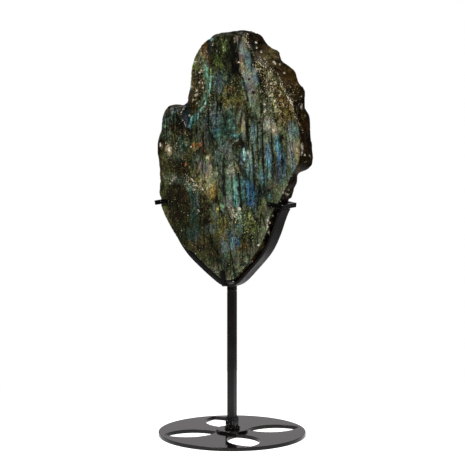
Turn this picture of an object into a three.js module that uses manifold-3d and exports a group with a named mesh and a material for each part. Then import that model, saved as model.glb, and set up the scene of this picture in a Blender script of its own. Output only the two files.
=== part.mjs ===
// A polished labradorite held upright by a black steel cradle on a round foot.
//
// Millimetres, +Z up. The origin is the centre of the foot's underside, and the stone's
// polished face looks towards -Y. Pieces that touch on the real object stand GAP apart.

import * as THREE from 'three';
import { mergeVertices } from 'three/addons/utils/BufferGeometryUtils.js';
import Module from 'manifold-3d';

const wasm = await Module();
wasm.setup();

const GAP = 0.3;

// Foot: a round plate with four leaf-shaped cut-outs, and a thin round hub in its middle.
const DISC_RADIUS = 92;
const DISC_THICKNESS = 4.5;
const LEAF_COUNT = 4;
const LEAF_INNER_TIP = 20.5;
const LEAF_OUTER_TIP = 86.5;
const LEAF_WIDTH = 40;
const HUB_RADIUS = 19.8;
const HUB_THICKNESS = 2.6;

// Post: a square bar that stands in a square socket welded to the hub.
const BAR = 9.5;
const BAR_CORNER = 0.8;
const SOCKET_SIDE = 12.8;
const SOCKET_TOP = 22.6;
const BEAD_RADIUS = 2.5;
const BEADS_PER_SIDE = 2;
const POST_TOP = 181.2;

// Cradle: a flat bar bent to the stone's lower edge, on a short neck of the post's section.
const STRAP_FRONT = -10.5;
const STRAP_BACK = 11.5;
const STRAP_THICKNESS = 3.2;
const STRAP_BOTTOM = 187.7;
const STRAP_STEPS = 46;
// Underside of the strap from its left end to its right end, as X and Z.
const STRAP_UNDERSIDE = [
  [-97.2, 283.9], [-96.4, 282], [-91, 273], [-82.6, 259], [-74.2, 246.2], [-66.6, 234.6],
  [-55.4, 222.1], [-40.4, 209.8], [-25, 198.4], [-12.6, 190.4], [-5.4, STRAP_BOTTOM],
  [0, STRAP_BOTTOM], [6.4, STRAP_BOTTOM], [13.2, 191.6], [19.6, 197], [31, 208.9],
  [41.2, 219.6], [50.1, 230.2], [56.2, 240], [61, 250], [65.2, 260.2], [69.2, 271.5],
  [73.4, 281.5], [75.7, 285.8],
];

// Clips: flat bar bent round both faces of the stone. The side clips stand on edge.
const CLIP_BAR = 4.6;
const SIDE_CLIP_HEIGHT = 5.9;
const STONE_HALF_DEPTH = 13.4;
const CLIP_CLEARANCE = 0.4;
const LEFT_CLIP = { x: -101, z: 284.7, tilt: 10, reach: 16.5 };
const RIGHT_CLIP = { x: 79.8, z: 287.2, tilt: -8, reach: 22 };
const FOOT_CLIP_X = -2;
const FOOT_CLIP_BOTTOM = 188.3;
const FOOT_CLIP_TOP = 208.4;
const FOOT_CLIP_LEG = 4.2;
const FOOT_CLIP_LEAN = 7;
const BEND_RADIUS = 2.4;

// Stone. Both outlines run anticlockwise as seen from the front, from the right side up and
// over the top. Their points are X and Z, and the girdle's third value is its Y.
const STONE_CENTRE = new THREE.Vector2(5, 345);
const FACE_EDGE = [
  [100.5, 352], [102, 368], [100, 381], [98, 390], [94, 399], [90, 411], [85.5, 423], [78.5, 433],
  [70.5, 443.5], [58.5, 452.5], [49.5, 458.5], [42.5, 468.5], [33.5, 480], [25.5, 490],
  [11.5, 496], [-2.5, 496.5], [-14.5, 494.5], [-21.5, 490], [-23.1, 466], [-23.3, 436],
  [-27.5, 423], [-33.5, 414.5], [-40.5, 406], [-51.5, 405.5], [-60.5, 406], [-69.5, 407.5],
  [-80, 407], [-87, 400], [-91.5, 392], [-93, 381], [-96.5, 370], [-98.1, 360], [-97.3, 348],
  [-95.5, 336], [-94.8, 325], [-94.8, 310], [-95, 296], [-95.2, 291], [-95, 284],
  [-90.7, 273.6], [-81.8, 258.9], [-73, 246.8], [-64.2, 235.8], [-53, 228.6], [-46, 227], [-38, 220],
  [-27.9, 210.7], [-19.3, 205], [-11, 198.5], [-2.5, 195.8], [5.5, 196], [13.5, 200], [21.5, 209],
  [32.5, 221.5], [43.7, 236.7], [49.5, 245.6], [55.8, 259.4], [56.5, 271.5], [62, 282.7],
  [70.5, 292.8], [80.9, 311], [90.1, 329], [97.5, 341],
];
const GIRDLE = [
  [107.6, 352, 5.9], [106, 366, 5.9], [105, 381, 5.9], [104.2, 396, 5.9], [99.8, 406, 5.9],
  [98, 420, 5.9], [95.8, 432, 5.9], [89.9, 441.5, 5.2], [83.1, 451, 5.2], [71.9, 463.5, 4.4],
  [64.5, 470, 4.4], [61.9, 476.5, 4.4], [53.3, 480.5, 3.7], [43.6, 489, 3], [35.3, 497.5, 1.5],
  [25.7, 501.5, 0.7], [8, 501.6, 0], [-2, 499, 0], [-13.2, 498.6, -0.7], [-22.8, 498, -1.5],
  [-29.5, 492.5, -2.2], [-39.1, 487.5, -3], [-45.6, 479, -3], [-51.6, 470, -3],
  [-55.1, 459.5, -3], [-57, 449, -3], [-58, 438.5, -3], [-59.2, 429.5, -3], [-61.2, 419, -3.7],
  [-62.3, 411.5, -4.4], [-69.2, 409.6, -5.9], [-85.2, 409.8, -5.9], [-92.2, 402.5, -5.9],
  [-97.2, 395, -5.9], [-98.4, 385, -5.9], [-101.2, 373, -5.9], [-104.2, 364, -5.9],
  [-104.8, 351, -5.9], [-102, 337, -6.7], [-100.2, 325, -6.7], [-99.8, 310, -7.4],
  [-100.6, 297, -8.1], [-94.3, 284, -8.1], [-87.1, 271, -7.4], [-78.2, 257.4, -6.7],
  [-69.2, 245.4, -5.9], [-59.7, 234.2, -5.2], [-46.9, 222.4, -4.4], [-33.2, 210.8, -3],
  [-18.3, 200.4, -1.5], [-6, 193.4, 0], [4, 192.8, 0], [12.2, 196.8, 0.7], [25.9, 210.2, 1.5],
  [36.5, 220.6, 2.2], [45.2, 231, 3], [51.6, 241.4, 3], [57.4, 251.6, 3.7], [61.6, 261.6, 3.7],
  [65.3, 272.4, 4.4], [69.7, 283, 5.2], [79.6, 296.5, 5.9], [81.8, 309.5, 5.9],
  [88.2, 320.5, 5.9], [90.2, 329, 5.9], [100.7, 334.5, 5.9], [107, 343, 5.9],
];
const RIM_SAMPLES = 168;
const SEAT_CLEARANCE = 0.6;
// The stone is cut back this far above each side clip, and over this much height.
const CLIP_NOTCH = 4.5;
const CLIP_NOTCH_RUN = 6;
// Thickness of the face's crisp edge, and of the lip where it overhangs the strap's front.
const CRISP_EDGE = 0.5;
const OVERHANG_THICKNESS = 1.8;
// Depth where the broken rim begins, how deep its two sizes of fracture bite, and how far it
// may stand out past the girdle.
const RIM_START = 1.4;
const COARSE_FRACTURE = { size: 19, bite: 3.4 };
const FINE_FRACTURE = { size: 15, squeeze: 1.7, bite: 1.6 };
const FRACTURE_LEVEL = 0.45;
const CRISP_SHARE = 0.22;
const RIM_SWELL = 0.9;
// Back: how far its edge lies inside the girdle and behind the deepest point, and its ledges.
const BACK_EDGE_INSET = 7;
const BACK_EDGE_DROP = 3;
const BACK_LEDGE = { size: 46, depth: 3.4 };
const BACK_LUMP = { size: 27, depth: 1.6 };
const BACK_FALL = 2.2;

// Chips broken out of the polished face: the shell-shaped pocket under the left shoulder, its
// smaller neighbour, a bruise near the middle, a nick above the strap, the worn left edge and
// a spall beside the top. x, z, half width, half height, turn in degrees and depth.
const FACE_CHIPS = [
  { x: -59, z: 395, width: 7, height: 14, turn: 14, depth: 4 },
  { x: -52.5, z: 402.5, width: 8, height: 8, turn: -20, depth: 3.2 },
  { x: 12.5, z: 333.5, width: 5, height: 9, turn: 38, depth: 0.8 },
  { x: -48.5, z: 226.5, width: 7, height: 3.5, turn: -30, depth: 2 },
  { x: -94, z: 358, width: 6, height: 14, turn: -4, depth: 2 },
  { x: 44, z: 470, width: 5, height: 12, turn: 35, depth: 2 },
];

const paint = new THREE.MeshStandardMaterial({ color: 0x161616, roughness: 0.22, metalness: 0.0 });
const stoneSkin = new THREE.MeshStandardMaterial({ color: 0x3f4a44, roughness: 0.2, metalness: 0.0 });

// Small helpers

function named(name, geometry, material) {
  const mesh = new THREE.Mesh(geometry, material);
  mesh.name = name;
  return mesh;
}

function polygon(points) {
  return new THREE.Shape(points.map(([x, y]) => new THREE.Vector2(x, y)));
}

// Extrudes an outline from 0 to depth along Z, with its edges eased by a narrow flat.
function easedPlate(shape, depth, edge) {
  const geometry = new THREE.ExtrudeGeometry(shape, {
    depth: depth - 2 * edge,
    bevelEnabled: true,
    bevelThickness: edge,
    bevelSize: edge,
    bevelOffset: -edge,
    bevelSegments: 1,
    curveSegments: 14,
  });
  return geometry.translate(0, 0, edge);
}

function squareOutline(side, corner) {
  const half = side / 2;
  const centres = [[1, 1], [-1, 1], [-1, -1], [1, -1]];
  const points = [];
  centres.forEach(([sx, sy], quarter) => {
    for (let step = 0; step <= 2; step += 1) {
      const angle = (quarter + step / 2) * Math.PI / 2;
      points.push([
        sx * (half - corner) + corner * Math.cos(angle),
        sy * (half - corner) + corner * Math.sin(angle),
      ]);
    }
  });
  return polygon(points);
}

function toSolid(geometry) {
  const bare = new THREE.BufferGeometry();
  bare.setAttribute('position', geometry.attributes.position);
  bare.setIndex(geometry.index);
  const merged = mergeVertices(bare, 1e-4);
  return new wasm.Manifold(new wasm.Mesh({
    numProp: 3,
    vertProperties: new Float32Array(merged.attributes.position.array),
    triVerts: new Uint32Array(merged.index.array),
  }));
}

function fromSolid(solid) {
  const mesh = solid.getMesh();
  const geometry = new THREE.BufferGeometry();
  geometry.setAttribute('position', new THREE.BufferAttribute(new Float32Array(mesh.vertProperties), 3));
  geometry.setIndex(new THREE.BufferAttribute(new Uint32Array(mesh.triVerts), 1));
  geometry.computeVertexNormals();
  return geometry;
}

// Foot

// A leaf is two equal arcs that meet in a point at each end.
function leafHole(angle) {
  const half = (LEAF_OUTER_TIP - LEAF_INNER_TIP) / 2;
  const rise = LEAF_WIDTH / 2;
  const arcRadius = (half * half + rise * rise) / (2 * rise);
  const sweep = Math.asin(half / arcRadius);
  const middle = (LEAF_OUTER_TIP + LEAF_INNER_TIP) / 2;
  const steps = 12;
  const points = [];
  for (const side of [1, -1]) {
    for (let i = 0; i < steps; i += 1) {
      const turn = sweep * (1 - 2 * i / steps);
      const along = middle + side * arcRadius * Math.sin(turn);
      const across = side * (arcRadius * Math.cos(turn) - (arcRadius - rise));
      points.push(new THREE.Vector2(
        along * Math.cos(angle) - across * Math.sin(angle),
        along * Math.sin(angle) + across * Math.cos(angle),
      ));
    }
  }
  return new THREE.Path(points);
}

function makeDisc() {
  const edge = 0.35;
  const rimSteps = 84;
  const outline = new THREE.Shape();
  const rim = [];
  for (let i = 0; i < rimSteps; i += 1) {
    const angle = i / rimSteps * 2 * Math.PI;
    rim.push(new THREE.Vector2(DISC_RADIUS * Math.cos(angle), DISC_RADIUS * Math.sin(angle)));
  }
  outline.setFromPoints(rim);
  for (let i = 0; i < LEAF_COUNT; i += 1) {
    outline.holes.push(leafHole((i + 0.5) * 2 * Math.PI / LEAF_COUNT));
  }
  return easedPlate(outline, DISC_THICKNESS, edge);
}

function makeHub() {
  const edge = 0.3;
  const bottom = DISC_THICKNESS + GAP;
  const profile = [
    new THREE.Vector2(0, 0),
    new THREE.Vector2(HUB_RADIUS, 0),
    new THREE.Vector2(HUB_RADIUS, HUB_THICKNESS - edge),
    new THREE.Vector2(HUB_RADIUS - edge, HUB_THICKNESS),
    new THREE.Vector2(0, HUB_THICKNESS),
  ];
  return new THREE.LatheGeometry(profile, 36).rotateX(Math.PI / 2).translate(0, 0, bottom);
}

const SOCKET_BOTTOM = DISC_THICKNESS + GAP + HUB_THICKNESS + GAP;

// The socket's square tube with the lumps of its weld fused to its foot.
function makeSocket() {
  const tubeShape = squareOutline(SOCKET_SIDE, 0.9);
  const bore = squareOutline(BAR + 2 * GAP, BAR_CORNER);
  const tube = toSolid(easedPlate(tubeShape, SOCKET_TOP - SOCKET_BOTTOM, 0.4));
  const drill = toSolid(easedPlate(bore, SOCKET_TOP, 0.1)).translate([0, 0, -1]);
  let solid = tube;
  for (let side = 0; side < 4; side += 1) {
    for (let i = 0; i < BEADS_PER_SIDE; i += 1) {
      const lump = new THREE.IcosahedronGeometry(BEAD_RADIUS, 1);
      const along = (i - (BEADS_PER_SIDE - 1) / 2) * SOCKET_SIDE / BEADS_PER_SIDE;
      const size = 1 + 0.12 * Math.sin(5 * side + 3 * i);
      lump.scale(1.25 * size, size, size).rotateZ(0.4 * i + side);
      lump.translate(along, SOCKET_SIDE / 2 + 0.4, 1);
      solid = solid.add(toSolid(lump.rotateZ(side * Math.PI / 2)));
    }
  }
  const below = toSolid(new THREE.BoxGeometry(40, 40, 10).translate(0, 0, -5));
  solid = solid.subtract(below).subtract(drill);
  return fromSolid(solid.translate([0, 0, SOCKET_BOTTOM]));
}

function makeBar(bottom, top) {
  return easedPlate(squareOutline(BAR, BAR_CORNER), top - bottom, 0.25).translate(0, 0, bottom);
}

// Cradle

// Points along the strap, each with the unit normal that points up into the cradle.
function strapLine() {
  const knots = STRAP_UNDERSIDE.map(([x, z]) => new THREE.Vector3(x, 0, z));
  const curve = new THREE.CatmullRomCurve3(knots, false, 'centripetal');
  const line = [];
  for (let i = 0; i <= STRAP_STEPS; i += 1) {
    const t = i / STRAP_STEPS;
    const point = curve.getPointAt(t);
    const tangent = curve.getTangentAt(t);
    line.push({ x: point.x, z: point.z, nx: -tangent.z, nz: tangent.x });
  }
  return line;
}

function strapSide(height) {
  return strapLine().map((p) => [p.x + p.nx * height, p.z + p.nz * height]);
}

function makeStrap() {
  const outline = [...strapSide(0), ...strapSide(STRAP_THICKNESS).reverse()];
  const geometry = easedPlate(polygon(outline), STRAP_BACK - STRAP_FRONT, 0.4);
  return geometry.rotateX(Math.PI / 2).translate(0, STRAP_BACK, 0);
}

// A bar bent into a U: its base runs along Y and both fingers point along +X.
function makeSideClip({ x, z, tilt, reach }) {
  const inner = STONE_HALF_DEPTH + CLIP_CLEARANCE;
  const outer = inner + CLIP_BAR;
  const outline = [
    [0, -outer], [reach, -outer], [reach, -inner], [CLIP_BAR, -inner],
    [CLIP_BAR, inner], [reach, inner], [reach, outer], [0, outer],
  ];
  const geometry = easedPlate(polygon(outline), SIDE_CLIP_HEIGHT, 0.35);
  if (tilt < 0) {
    geometry.rotateZ(Math.PI);
  }
  return geometry.rotateY(-THREE.MathUtils.degToRad(tilt)).translate(x, 0, z);
}

// A finger that stands on a short leg welded to the strap's front or back edge, and leans
// a little to the left.
function makeFootClip(side, strapEdge) {
  const near = Math.abs(strapEdge) + GAP;
  const inner = STONE_HALF_DEPTH + CLIP_CLEARANCE;
  const outer = inner + CLIP_BAR;
  const height = FOOT_CLIP_TOP - FOOT_CLIP_BOTTOM;
  const inside = 0.3 * BEND_RADIUS;
  const outline = [
    [near, 0], [outer - BEND_RADIUS, 0], [outer - inside, inside], [outer, BEND_RADIUS],
    [outer, height], [inner, height], [inner, FOOT_CLIP_LEG], [near, FOOT_CLIP_LEG],
  ];
  const geometry = easedPlate(polygon(outline), CLIP_BAR, 0.35);
  geometry.translate(0, 0, -CLIP_BAR / 2).rotateX(Math.PI / 2).rotateZ(side * Math.PI / 2);
  geometry.rotateY(-THREE.MathUtils.degToRad(FOOT_CLIP_LEAN));
  return geometry.translate(FOOT_CLIP_X, 0, FOOT_CLIP_BOTTOM);
}

// Stone

// The same lattice point always gives the same value from 0 to 1.
function latticeValue(i, j, k, salt) {
  let h = Math.imul(i + 101, 374761393) + Math.imul(j + 211, 668265263);
  h += Math.imul(k + 307, 1442695041) + Math.imul(salt + 17, 1103515245);
  h = Math.imul(h ^ (h >>> 13), 1274126177);
  return ((h ^ (h >>> 16)) >>> 0) / 4294967295;
}

// Shell-shaped fracture: 0 in the middle of each hollow, near 1 on the ridges between them.
function fracture(p, size) {
  const cell = [p.x / size, p.y / size, p.z / size];
  const base = cell.map(Math.floor);
  let nearest = 9;
  for (let i = -1; i <= 1; i += 1) {
    for (let j = -1; j <= 1; j += 1) {
      for (let k = -1; k <= 1; k += 1) {
        const at = [base[0] + i, base[1] + j, base[2] + k];
        const spot = at.map((value, axis) => value + latticeValue(...at, axis));
        const distance = Math.hypot(spot[0] - cell[0], spot[1] - cell[1], spot[2] - cell[2]);
        nearest = Math.min(nearest, distance);
      }
    }
  }
  return Math.min(1, nearest * nearest * 1.6);
}

// Where the ray at this angle from the stone's centre leaves a line of [x, z] points.
function rayLength(line, angle, closed) {
  const direction = new THREE.Vector2(Math.cos(angle), Math.sin(angle));
  const count = closed ? line.length : line.length - 1;
  let longest = closed ? 0 : Infinity;
  for (let i = 0; i < count; i += 1) {
    const a = new THREE.Vector2(...line[i]).sub(STONE_CENTRE);
    const b = new THREE.Vector2(...line[(i + 1) % line.length]).sub(STONE_CENTRE);
    const edge = b.clone().sub(a);
    const across = direction.x * edge.y - direction.y * edge.x;
    if (Math.abs(across) < 1e-9) {
      continue;
    }
    const reach = (a.x * edge.y - a.y * edge.x) / across;
    const along = (a.x * direction.y - a.y * direction.x) / across;
    if (reach > 0 && along >= -1e-9 && along <= 1 + 1e-9) {
      longest = closed ? Math.max(longest, reach) : reach;
    }
  }
  return longest;
}

// The strap's upper side, carried on past its ends by the side bars of the clips.
function seatLine() {
  const inside = strapSide(STRAP_THICKNESS + SEAT_CLEARANCE);
  const above = SIDE_CLIP_HEIGHT + CLIP_NOTCH;
  const left = [LEFT_CLIP.x + CLIP_BAR + SEAT_CLEARANCE, LEFT_CLIP.z + above];
  const right = [RIGHT_CLIP.x - CLIP_BAR - SEAT_CLEARANCE, RIGHT_CLIP.z + above];
  const [leftFoot, rightFoot] = [left, right].map(([x, z]) => [x, z - CLIP_NOTCH_RUN]);
  return [left, leftFoot, ...inside, rightFoot, right];
}

// One record for each sample round the rim, evenly spaced along the girdle.
function rimSamples() {
  const knots = GIRDLE.map(([x, z, y]) => new THREE.Vector3(x, y, z));
  const curve = new THREE.CatmullRomCurve3(knots, true, 'centripetal');
  const seat = seatLine();
  const samples = [];
  for (let i = 0; i < RIM_SAMPLES; i += 1) {
    const point = curve.getPointAt(i / RIM_SAMPLES);
    const dx = point.x - STONE_CENTRE.x;
    const dz = point.z - STONE_CENTRE.y;
    const angle = Math.atan2(dz, dx);
    samples.push({
      angle,
      face: rayLength(FACE_EDGE, angle, true),
      girdle: Math.hypot(dx, dz),
      girdleY: point.y,
      seat: rayLength(seat, angle, false),
    });
  }
  return samples;
}

// The lens-shaped cutter of one chip: only its cap reaches into the face.
function chipCutter({ x, z, width, height, turn, depth }) {
  const outside = 0.5 * depth;
  const spread = 1 / Math.sqrt(1 - (outside / (depth + outside)) ** 2);
  const lens = new THREE.IcosahedronGeometry(1, 3);
  lens.scale(width * spread, depth + outside, height * spread);
  lens.rotateY(-THREE.MathUtils.degToRad(turn));
  return toSolid(lens.translate(x, -STONE_HALF_DEPTH - outside, z));
}

function place(sample, radius, y) {
  return new THREE.Vector3(
    STONE_CENTRE.x + radius * Math.cos(sample.angle),
    y,
    STONE_CENTRE.y + radius * Math.sin(sample.angle),
  );
}

function facePoint(sample, share) {
  return place(sample, sample.face * share, -STONE_HALF_DEPTH);
}

// Low on both sides the face reaches out in front of the strap.
function overhangs(sample) {
  return sample.face > sample.seat;
}

function edgePoint(sample) {
  const thickness = overhangs(sample) ? OVERHANG_THICKNESS : CRISP_EDGE;
  return place(sample, sample.face, thickness - STONE_HALF_DEPTH);
}

// Broken rim: share runs from 0 at the face's edge through 1 at the girdle to 2 at the back.
function rimPoint(sample, share) {
  const backY = STONE_HALF_DEPTH - BACK_EDGE_DROP;
  const towards = Math.min(1, share);
  const away = Math.max(0, share - 1);
  const bevel = Math.abs(sample.girdle - sample.face);
  const lip = share < 0.15;
  const lipY = overhangs(sample) ? STRAP_FRONT - CRISP_EDGE : RIM_START - STONE_HALF_DEPTH;
  let radius = THREE.MathUtils.lerp(sample.face, sample.girdle, towards ** 0.8);
  radius -= away * away * BACK_EDGE_INSET * 0.6;
  let y = THREE.MathUtils.lerp(-STONE_HALF_DEPTH, sample.girdleY, towards);
  y = THREE.MathUtils.lerp(y, backY, away);
  if (lip) {
    y = lipY;
  }
  const spot = place(sample, radius, y);
  const squeezed = spot.clone().multiplyScalar(FINE_FRACTURE.squeeze);
  const coarse = fracture(spot, COARSE_FRACTURE.size) - FRACTURE_LEVEL;
  const fine = fracture(squeezed, FINE_FRACTURE.size) - FRACTURE_LEVEL;
  const bite = COARSE_FRACTURE.bite * coarse + FINE_FRACTURE.bite * fine;
  radius += lip ? CRISP_SHARE * bite : bite;
  if (!lip) {
    y += (2 + 0.12 * bevel) * (coarse - 0.15) + 0.06 * bevel * fine;
  }
  radius = Math.min(radius, sample.seat, sample.girdle + RIM_SWELL);
  return place(sample, radius, lip ? lipY : THREE.MathUtils.clamp(y, lipY + share, backY));
}

// Natural back skin: broad ledges that step down towards the rim.
function backPoint(sample, share) {
  const edge = Math.min(sample.girdle - BACK_EDGE_INSET, sample.seat - BACK_EDGE_DROP);
  const spot = place(sample, edge * share, STONE_HALF_DEPTH);
  const upright = spot.clone().multiply(new THREE.Vector3(1, 1, 0.5));
  const ledge = BACK_LEDGE.depth * (1 - fracture(upright, BACK_LEDGE.size));
  const lump = BACK_LUMP.depth * (1 - fracture(spot, BACK_LUMP.size));
  spot.y = STONE_HALF_DEPTH - ledge - lump - BACK_FALL * share ** 8;
  return spot;
}

// Rings from the middle of the face, over the rim, to the middle of the back. A coarser ring
// has a half, a quarter or an eighth of the samples.
function stoneRings(samples) {
  const ring = (divide, build, share) => samples
    .filter((sample, index) => index % divide === 0)
    .map((sample) => build(sample, share));
  return [
    ring(8, facePoint, 0.12), ring(4, facePoint, 0.35), ring(2, facePoint, 0.7),
    ring(1, facePoint, 1), ring(1, edgePoint, 1),
    ring(1, rimPoint, 0.1), ring(1, rimPoint, 0.35), ring(1, rimPoint, 0.6),
    ring(1, rimPoint, 0.8), ring(1, rimPoint, 1), ring(1, rimPoint, 1.3),
    ring(1, rimPoint, 1.6), ring(1, rimPoint, 2),
    ring(1, backPoint, 1), ring(1, backPoint, 0.9), ring(2, backPoint, 0.8),
    ring(2, backPoint, 0.69), ring(2, backPoint, 0.57), ring(4, backPoint, 0.45),
    ring(4, backPoint, 0.33), ring(8, backPoint, 0.21), ring(8, backPoint, 0.1),
  ];
}

// Joins each ring to the next, where one may have twice as many points as the other.
function makeStone() {
  const rings = stoneRings(rimSamples());
  const positions = [];
  const starts = [];
  for (const ring of rings) {
    starts.push(positions.length / 3);
    ring.forEach((point) => positions.push(point.x, point.y, point.z));
  }
  const triangles = [];
  for (let r = 0; r + 1 < rings.length; r += 1) {
    const inner = rings[r].length;
    const outer = rings[r + 1].length;
    const a = (i) => starts[r] + (i % inner);
    const b = (i) => starts[r + 1] + (i % outer);
    for (let i = 0; i < Math.min(inner, outer); i += 1) {
      if (inner === outer) {
        triangles.push(a(i), b(i), b(i + 1), a(i), b(i + 1), a(i + 1));
      } else if (inner < outer) {
        triangles.push(a(i), b(2 * i), b(2 * i + 1));
        triangles.push(a(i), b(2 * i + 1), a(i + 1), a(i + 1), b(2 * i + 1), b(2 * i + 2));
      } else {
        triangles.push(a(2 * i), b(i), a(2 * i + 1));
        triangles.push(a(2 * i + 1), b(i), b(i + 1), a(2 * i + 1), b(i + 1), a(2 * i + 2));
      }
    }
  }
  const front = positions.length / 3;
  positions.push(STONE_CENTRE.x, -STONE_HALF_DEPTH, STONE_CENTRE.y);
  const last = rings.length - 1;
  const backMiddle = rings[last].reduce((sum, point) => sum + point.y, 0) / rings[last].length;
  positions.push(STONE_CENTRE.x, backMiddle, STONE_CENTRE.y);
  for (let i = 0; i < rings[0].length; i += 1) {
    triangles.push(front, i, (i + 1) % rings[0].length);
  }
  for (let i = 0; i < rings[last].length; i += 1) {
    triangles.push(front + 1, starts[last] + (i + 1) % rings[last].length, starts[last] + i);
  }
  const geometry = new THREE.BufferGeometry();
  geometry.setAttribute('position', new THREE.Float32BufferAttribute(positions, 3));
  geometry.setIndex(triangles);
  const rough = toSolid(geometry);
  return fromSolid(FACE_CHIPS.reduce((solid, chip) => solid.subtract(chipCutter(chip)), rough));
}

// Assembly

const foot = new THREE.Group();
foot.add(named('base_disc', makeDisc(), paint));
foot.add(named('hub_plate', makeHub(), paint));
foot.add(named('post_socket', makeSocket(), paint));
foot.add(named('post', makeBar(SOCKET_BOTTOM, POST_TOP), paint));

const cradle = new THREE.Group();
cradle.add(named('cradle_neck', makeBar(POST_TOP + GAP, STRAP_BOTTOM - GAP), paint));
cradle.add(named('cradle_strap', makeStrap(), paint));
cradle.add(named('clip_left', makeSideClip(LEFT_CLIP), paint));
cradle.add(named('clip_right', makeSideClip(RIGHT_CLIP), paint));
cradle.add(named('clip_front', makeFootClip(-1, STRAP_FRONT), paint));
cradle.add(named('clip_back', makeFootClip(1, STRAP_BACK), paint));

const model = new THREE.Group();
model.add(foot);
model.add(cradle);
model.add(named('labradorite', makeStone(), stoneSkin));

export default model;
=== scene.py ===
# %% [markdown]
# # A polished labradorite on a black steel stand
#
# Labradorite is a dark feldspar that flashes blue, green and gold when light strikes the thin
# layers inside it. This one is a free-form slab: its front is sawn flat and polished, its rim is
# broken and varnished, and its back is natural rock. A cradle of bent steel bar holds it upright.
#
# The lesson starts from a frame, the measured solids of the object. Every piece made here takes
# the place of one of those solids, so nothing moves and nothing grows.

# %% Load the frame
import math

import bpy
import numpy as np
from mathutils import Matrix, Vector, noise
from mathutils.kdtree import KDTree


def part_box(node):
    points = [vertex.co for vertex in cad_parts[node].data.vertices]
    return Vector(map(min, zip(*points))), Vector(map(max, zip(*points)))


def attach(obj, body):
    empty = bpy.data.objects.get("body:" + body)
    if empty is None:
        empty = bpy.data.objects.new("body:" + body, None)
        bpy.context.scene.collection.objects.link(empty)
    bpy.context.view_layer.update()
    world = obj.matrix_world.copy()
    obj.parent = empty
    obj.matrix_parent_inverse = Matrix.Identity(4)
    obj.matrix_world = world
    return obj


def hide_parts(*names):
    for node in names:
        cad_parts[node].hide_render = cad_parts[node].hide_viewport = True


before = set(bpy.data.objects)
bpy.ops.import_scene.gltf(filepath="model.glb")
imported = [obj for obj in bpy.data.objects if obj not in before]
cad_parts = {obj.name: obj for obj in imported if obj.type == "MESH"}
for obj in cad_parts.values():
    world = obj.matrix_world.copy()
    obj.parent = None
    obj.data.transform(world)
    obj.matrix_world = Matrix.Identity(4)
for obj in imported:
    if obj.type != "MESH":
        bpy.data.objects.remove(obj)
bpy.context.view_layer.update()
scene = bpy.context.scene

MM = 0.001
BODY = "root"
stone_low, stone_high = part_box("labradorite")
print("the stone measures", [round((b - a) / MM) for a, b in zip(stone_low, stone_high)], "mm")


# %% Object helpers
def add_object(name, data):
    made = bpy.data.objects.new(name, data)
    scene.collection.objects.link(made)
    return made


def mesh_with_modifiers(piece):
    depsgraph = bpy.context.evaluated_depsgraph_get()
    return bpy.data.meshes.new_from_object(piece.evaluated_get(depsgraph))


def shade_smooth(mesh):
    mesh.polygons.foreach_set("use_smooth", np.ones(len(mesh.polygons), dtype=bool))


# %% [markdown]
# ## The camera
#
# The picture was taken from the stone's right, a little above it and from well back, so the
# verticals stay upright and the round foot shows as a narrow ellipse. A long lens from two
# metres away gives that look.

# %% Camera
VIEW_AZIMUTH = math.radians(30)
VIEW_DISTANCE = 2.1
VIEW_HEIGHT = 0.4805
VIEW_PITCH = math.radians(6.16)
LENS_MM = 132.43
SENSOR_MM = 36
FRAMING_SHIFT = 0.001

camera_data = bpy.data.cameras.new("camera")
camera_data.lens = LENS_MM
camera_data.sensor_width = SENSOR_MM
camera_data.shift_x = FRAMING_SHIFT
camera = add_object("camera", camera_data)
camera.location = (
    VIEW_DISTANCE * math.sin(VIEW_AZIMUTH),
    -VIEW_DISTANCE * math.cos(VIEW_AZIMUTH),
    VIEW_HEIGHT,
)
camera.rotation_euler = (math.pi / 2 - VIEW_PITCH, 0, VIEW_AZIMUTH)
scene.camera = camera
print("the camera stands at", [round(c, 3) for c in camera.location])

# %% [markdown]
# ## Small helpers for materials
#
# A shader tree is easier to read when one short call makes a node, sets it and wires it. A value
# that is a socket is wired, and any other value is set.


# %% Shader helpers
def srgb(red, green, blue):
    """A colour as a paint chart gives it, from 0 to 255, turned into the renderer's numbers."""
    parts = [c / 255 for c in (red, green, blue)]
    linear = [c / 12.92 if c < 0.04045 else ((c + 0.055) / 1.055) ** 2.4 for c in parts]
    return (*linear, 1)


def fill(tree, socket, value):
    """Wires a socket to another one, or sets it to a plain value."""
    if isinstance(value, bpy.types.NodeSocket):
        tree.links.new(value, socket)
    else:
        socket.default_value = value


def set_inputs(tree, made, **inputs):
    """Sets or wires a node's inputs. An underscore in a name stands for a space."""
    for name, value in inputs.items():
        fill(tree, made.inputs[name.replace("_", " ")], value)


def node(tree, kind, settings=None, **inputs):
    made = tree.nodes.new("ShaderNode" + kind)
    for name, value in (settings or {}).items():
        setattr(made, name, value)
    set_inputs(tree, made, **inputs)
    return made


def measured(tree, place, size, lean=0):
    """A place turned about the Y axis, then divided by a size along each axis."""
    turned = node(tree, "VectorRotate", {"rotation_type": "Y_AXIS"}, Vector=place, Angle=lean)
    scaled = node(tree, "VectorMath", {"operation": "DIVIDE"}, Vector=turned.outputs["Vector"])
    scaled.inputs[1].default_value = size
    return scaled.outputs["Vector"]


def stretched(tree, size, lean=0):
    """The object's own coordinates, divided by a size in millimetres along each axis."""
    place = node(tree, "TexCoord").outputs["Object"]
    return measured(tree, place, [s * MM for s in size], lean)


def soft_noise(tree, where, detail, rough=0.5):
    return node(tree, "TexNoise", Vector=where, Scale=1.0, Detail=detail, Roughness=rough)


def grain(tree, size, detail=3.0, lean=0, rough=0.55):
    """Soft noise with grains of this size in millimetres, from 0 to 1."""
    return soft_noise(tree, stretched(tree, size, lean), detail, rough).outputs["Fac"]


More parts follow.
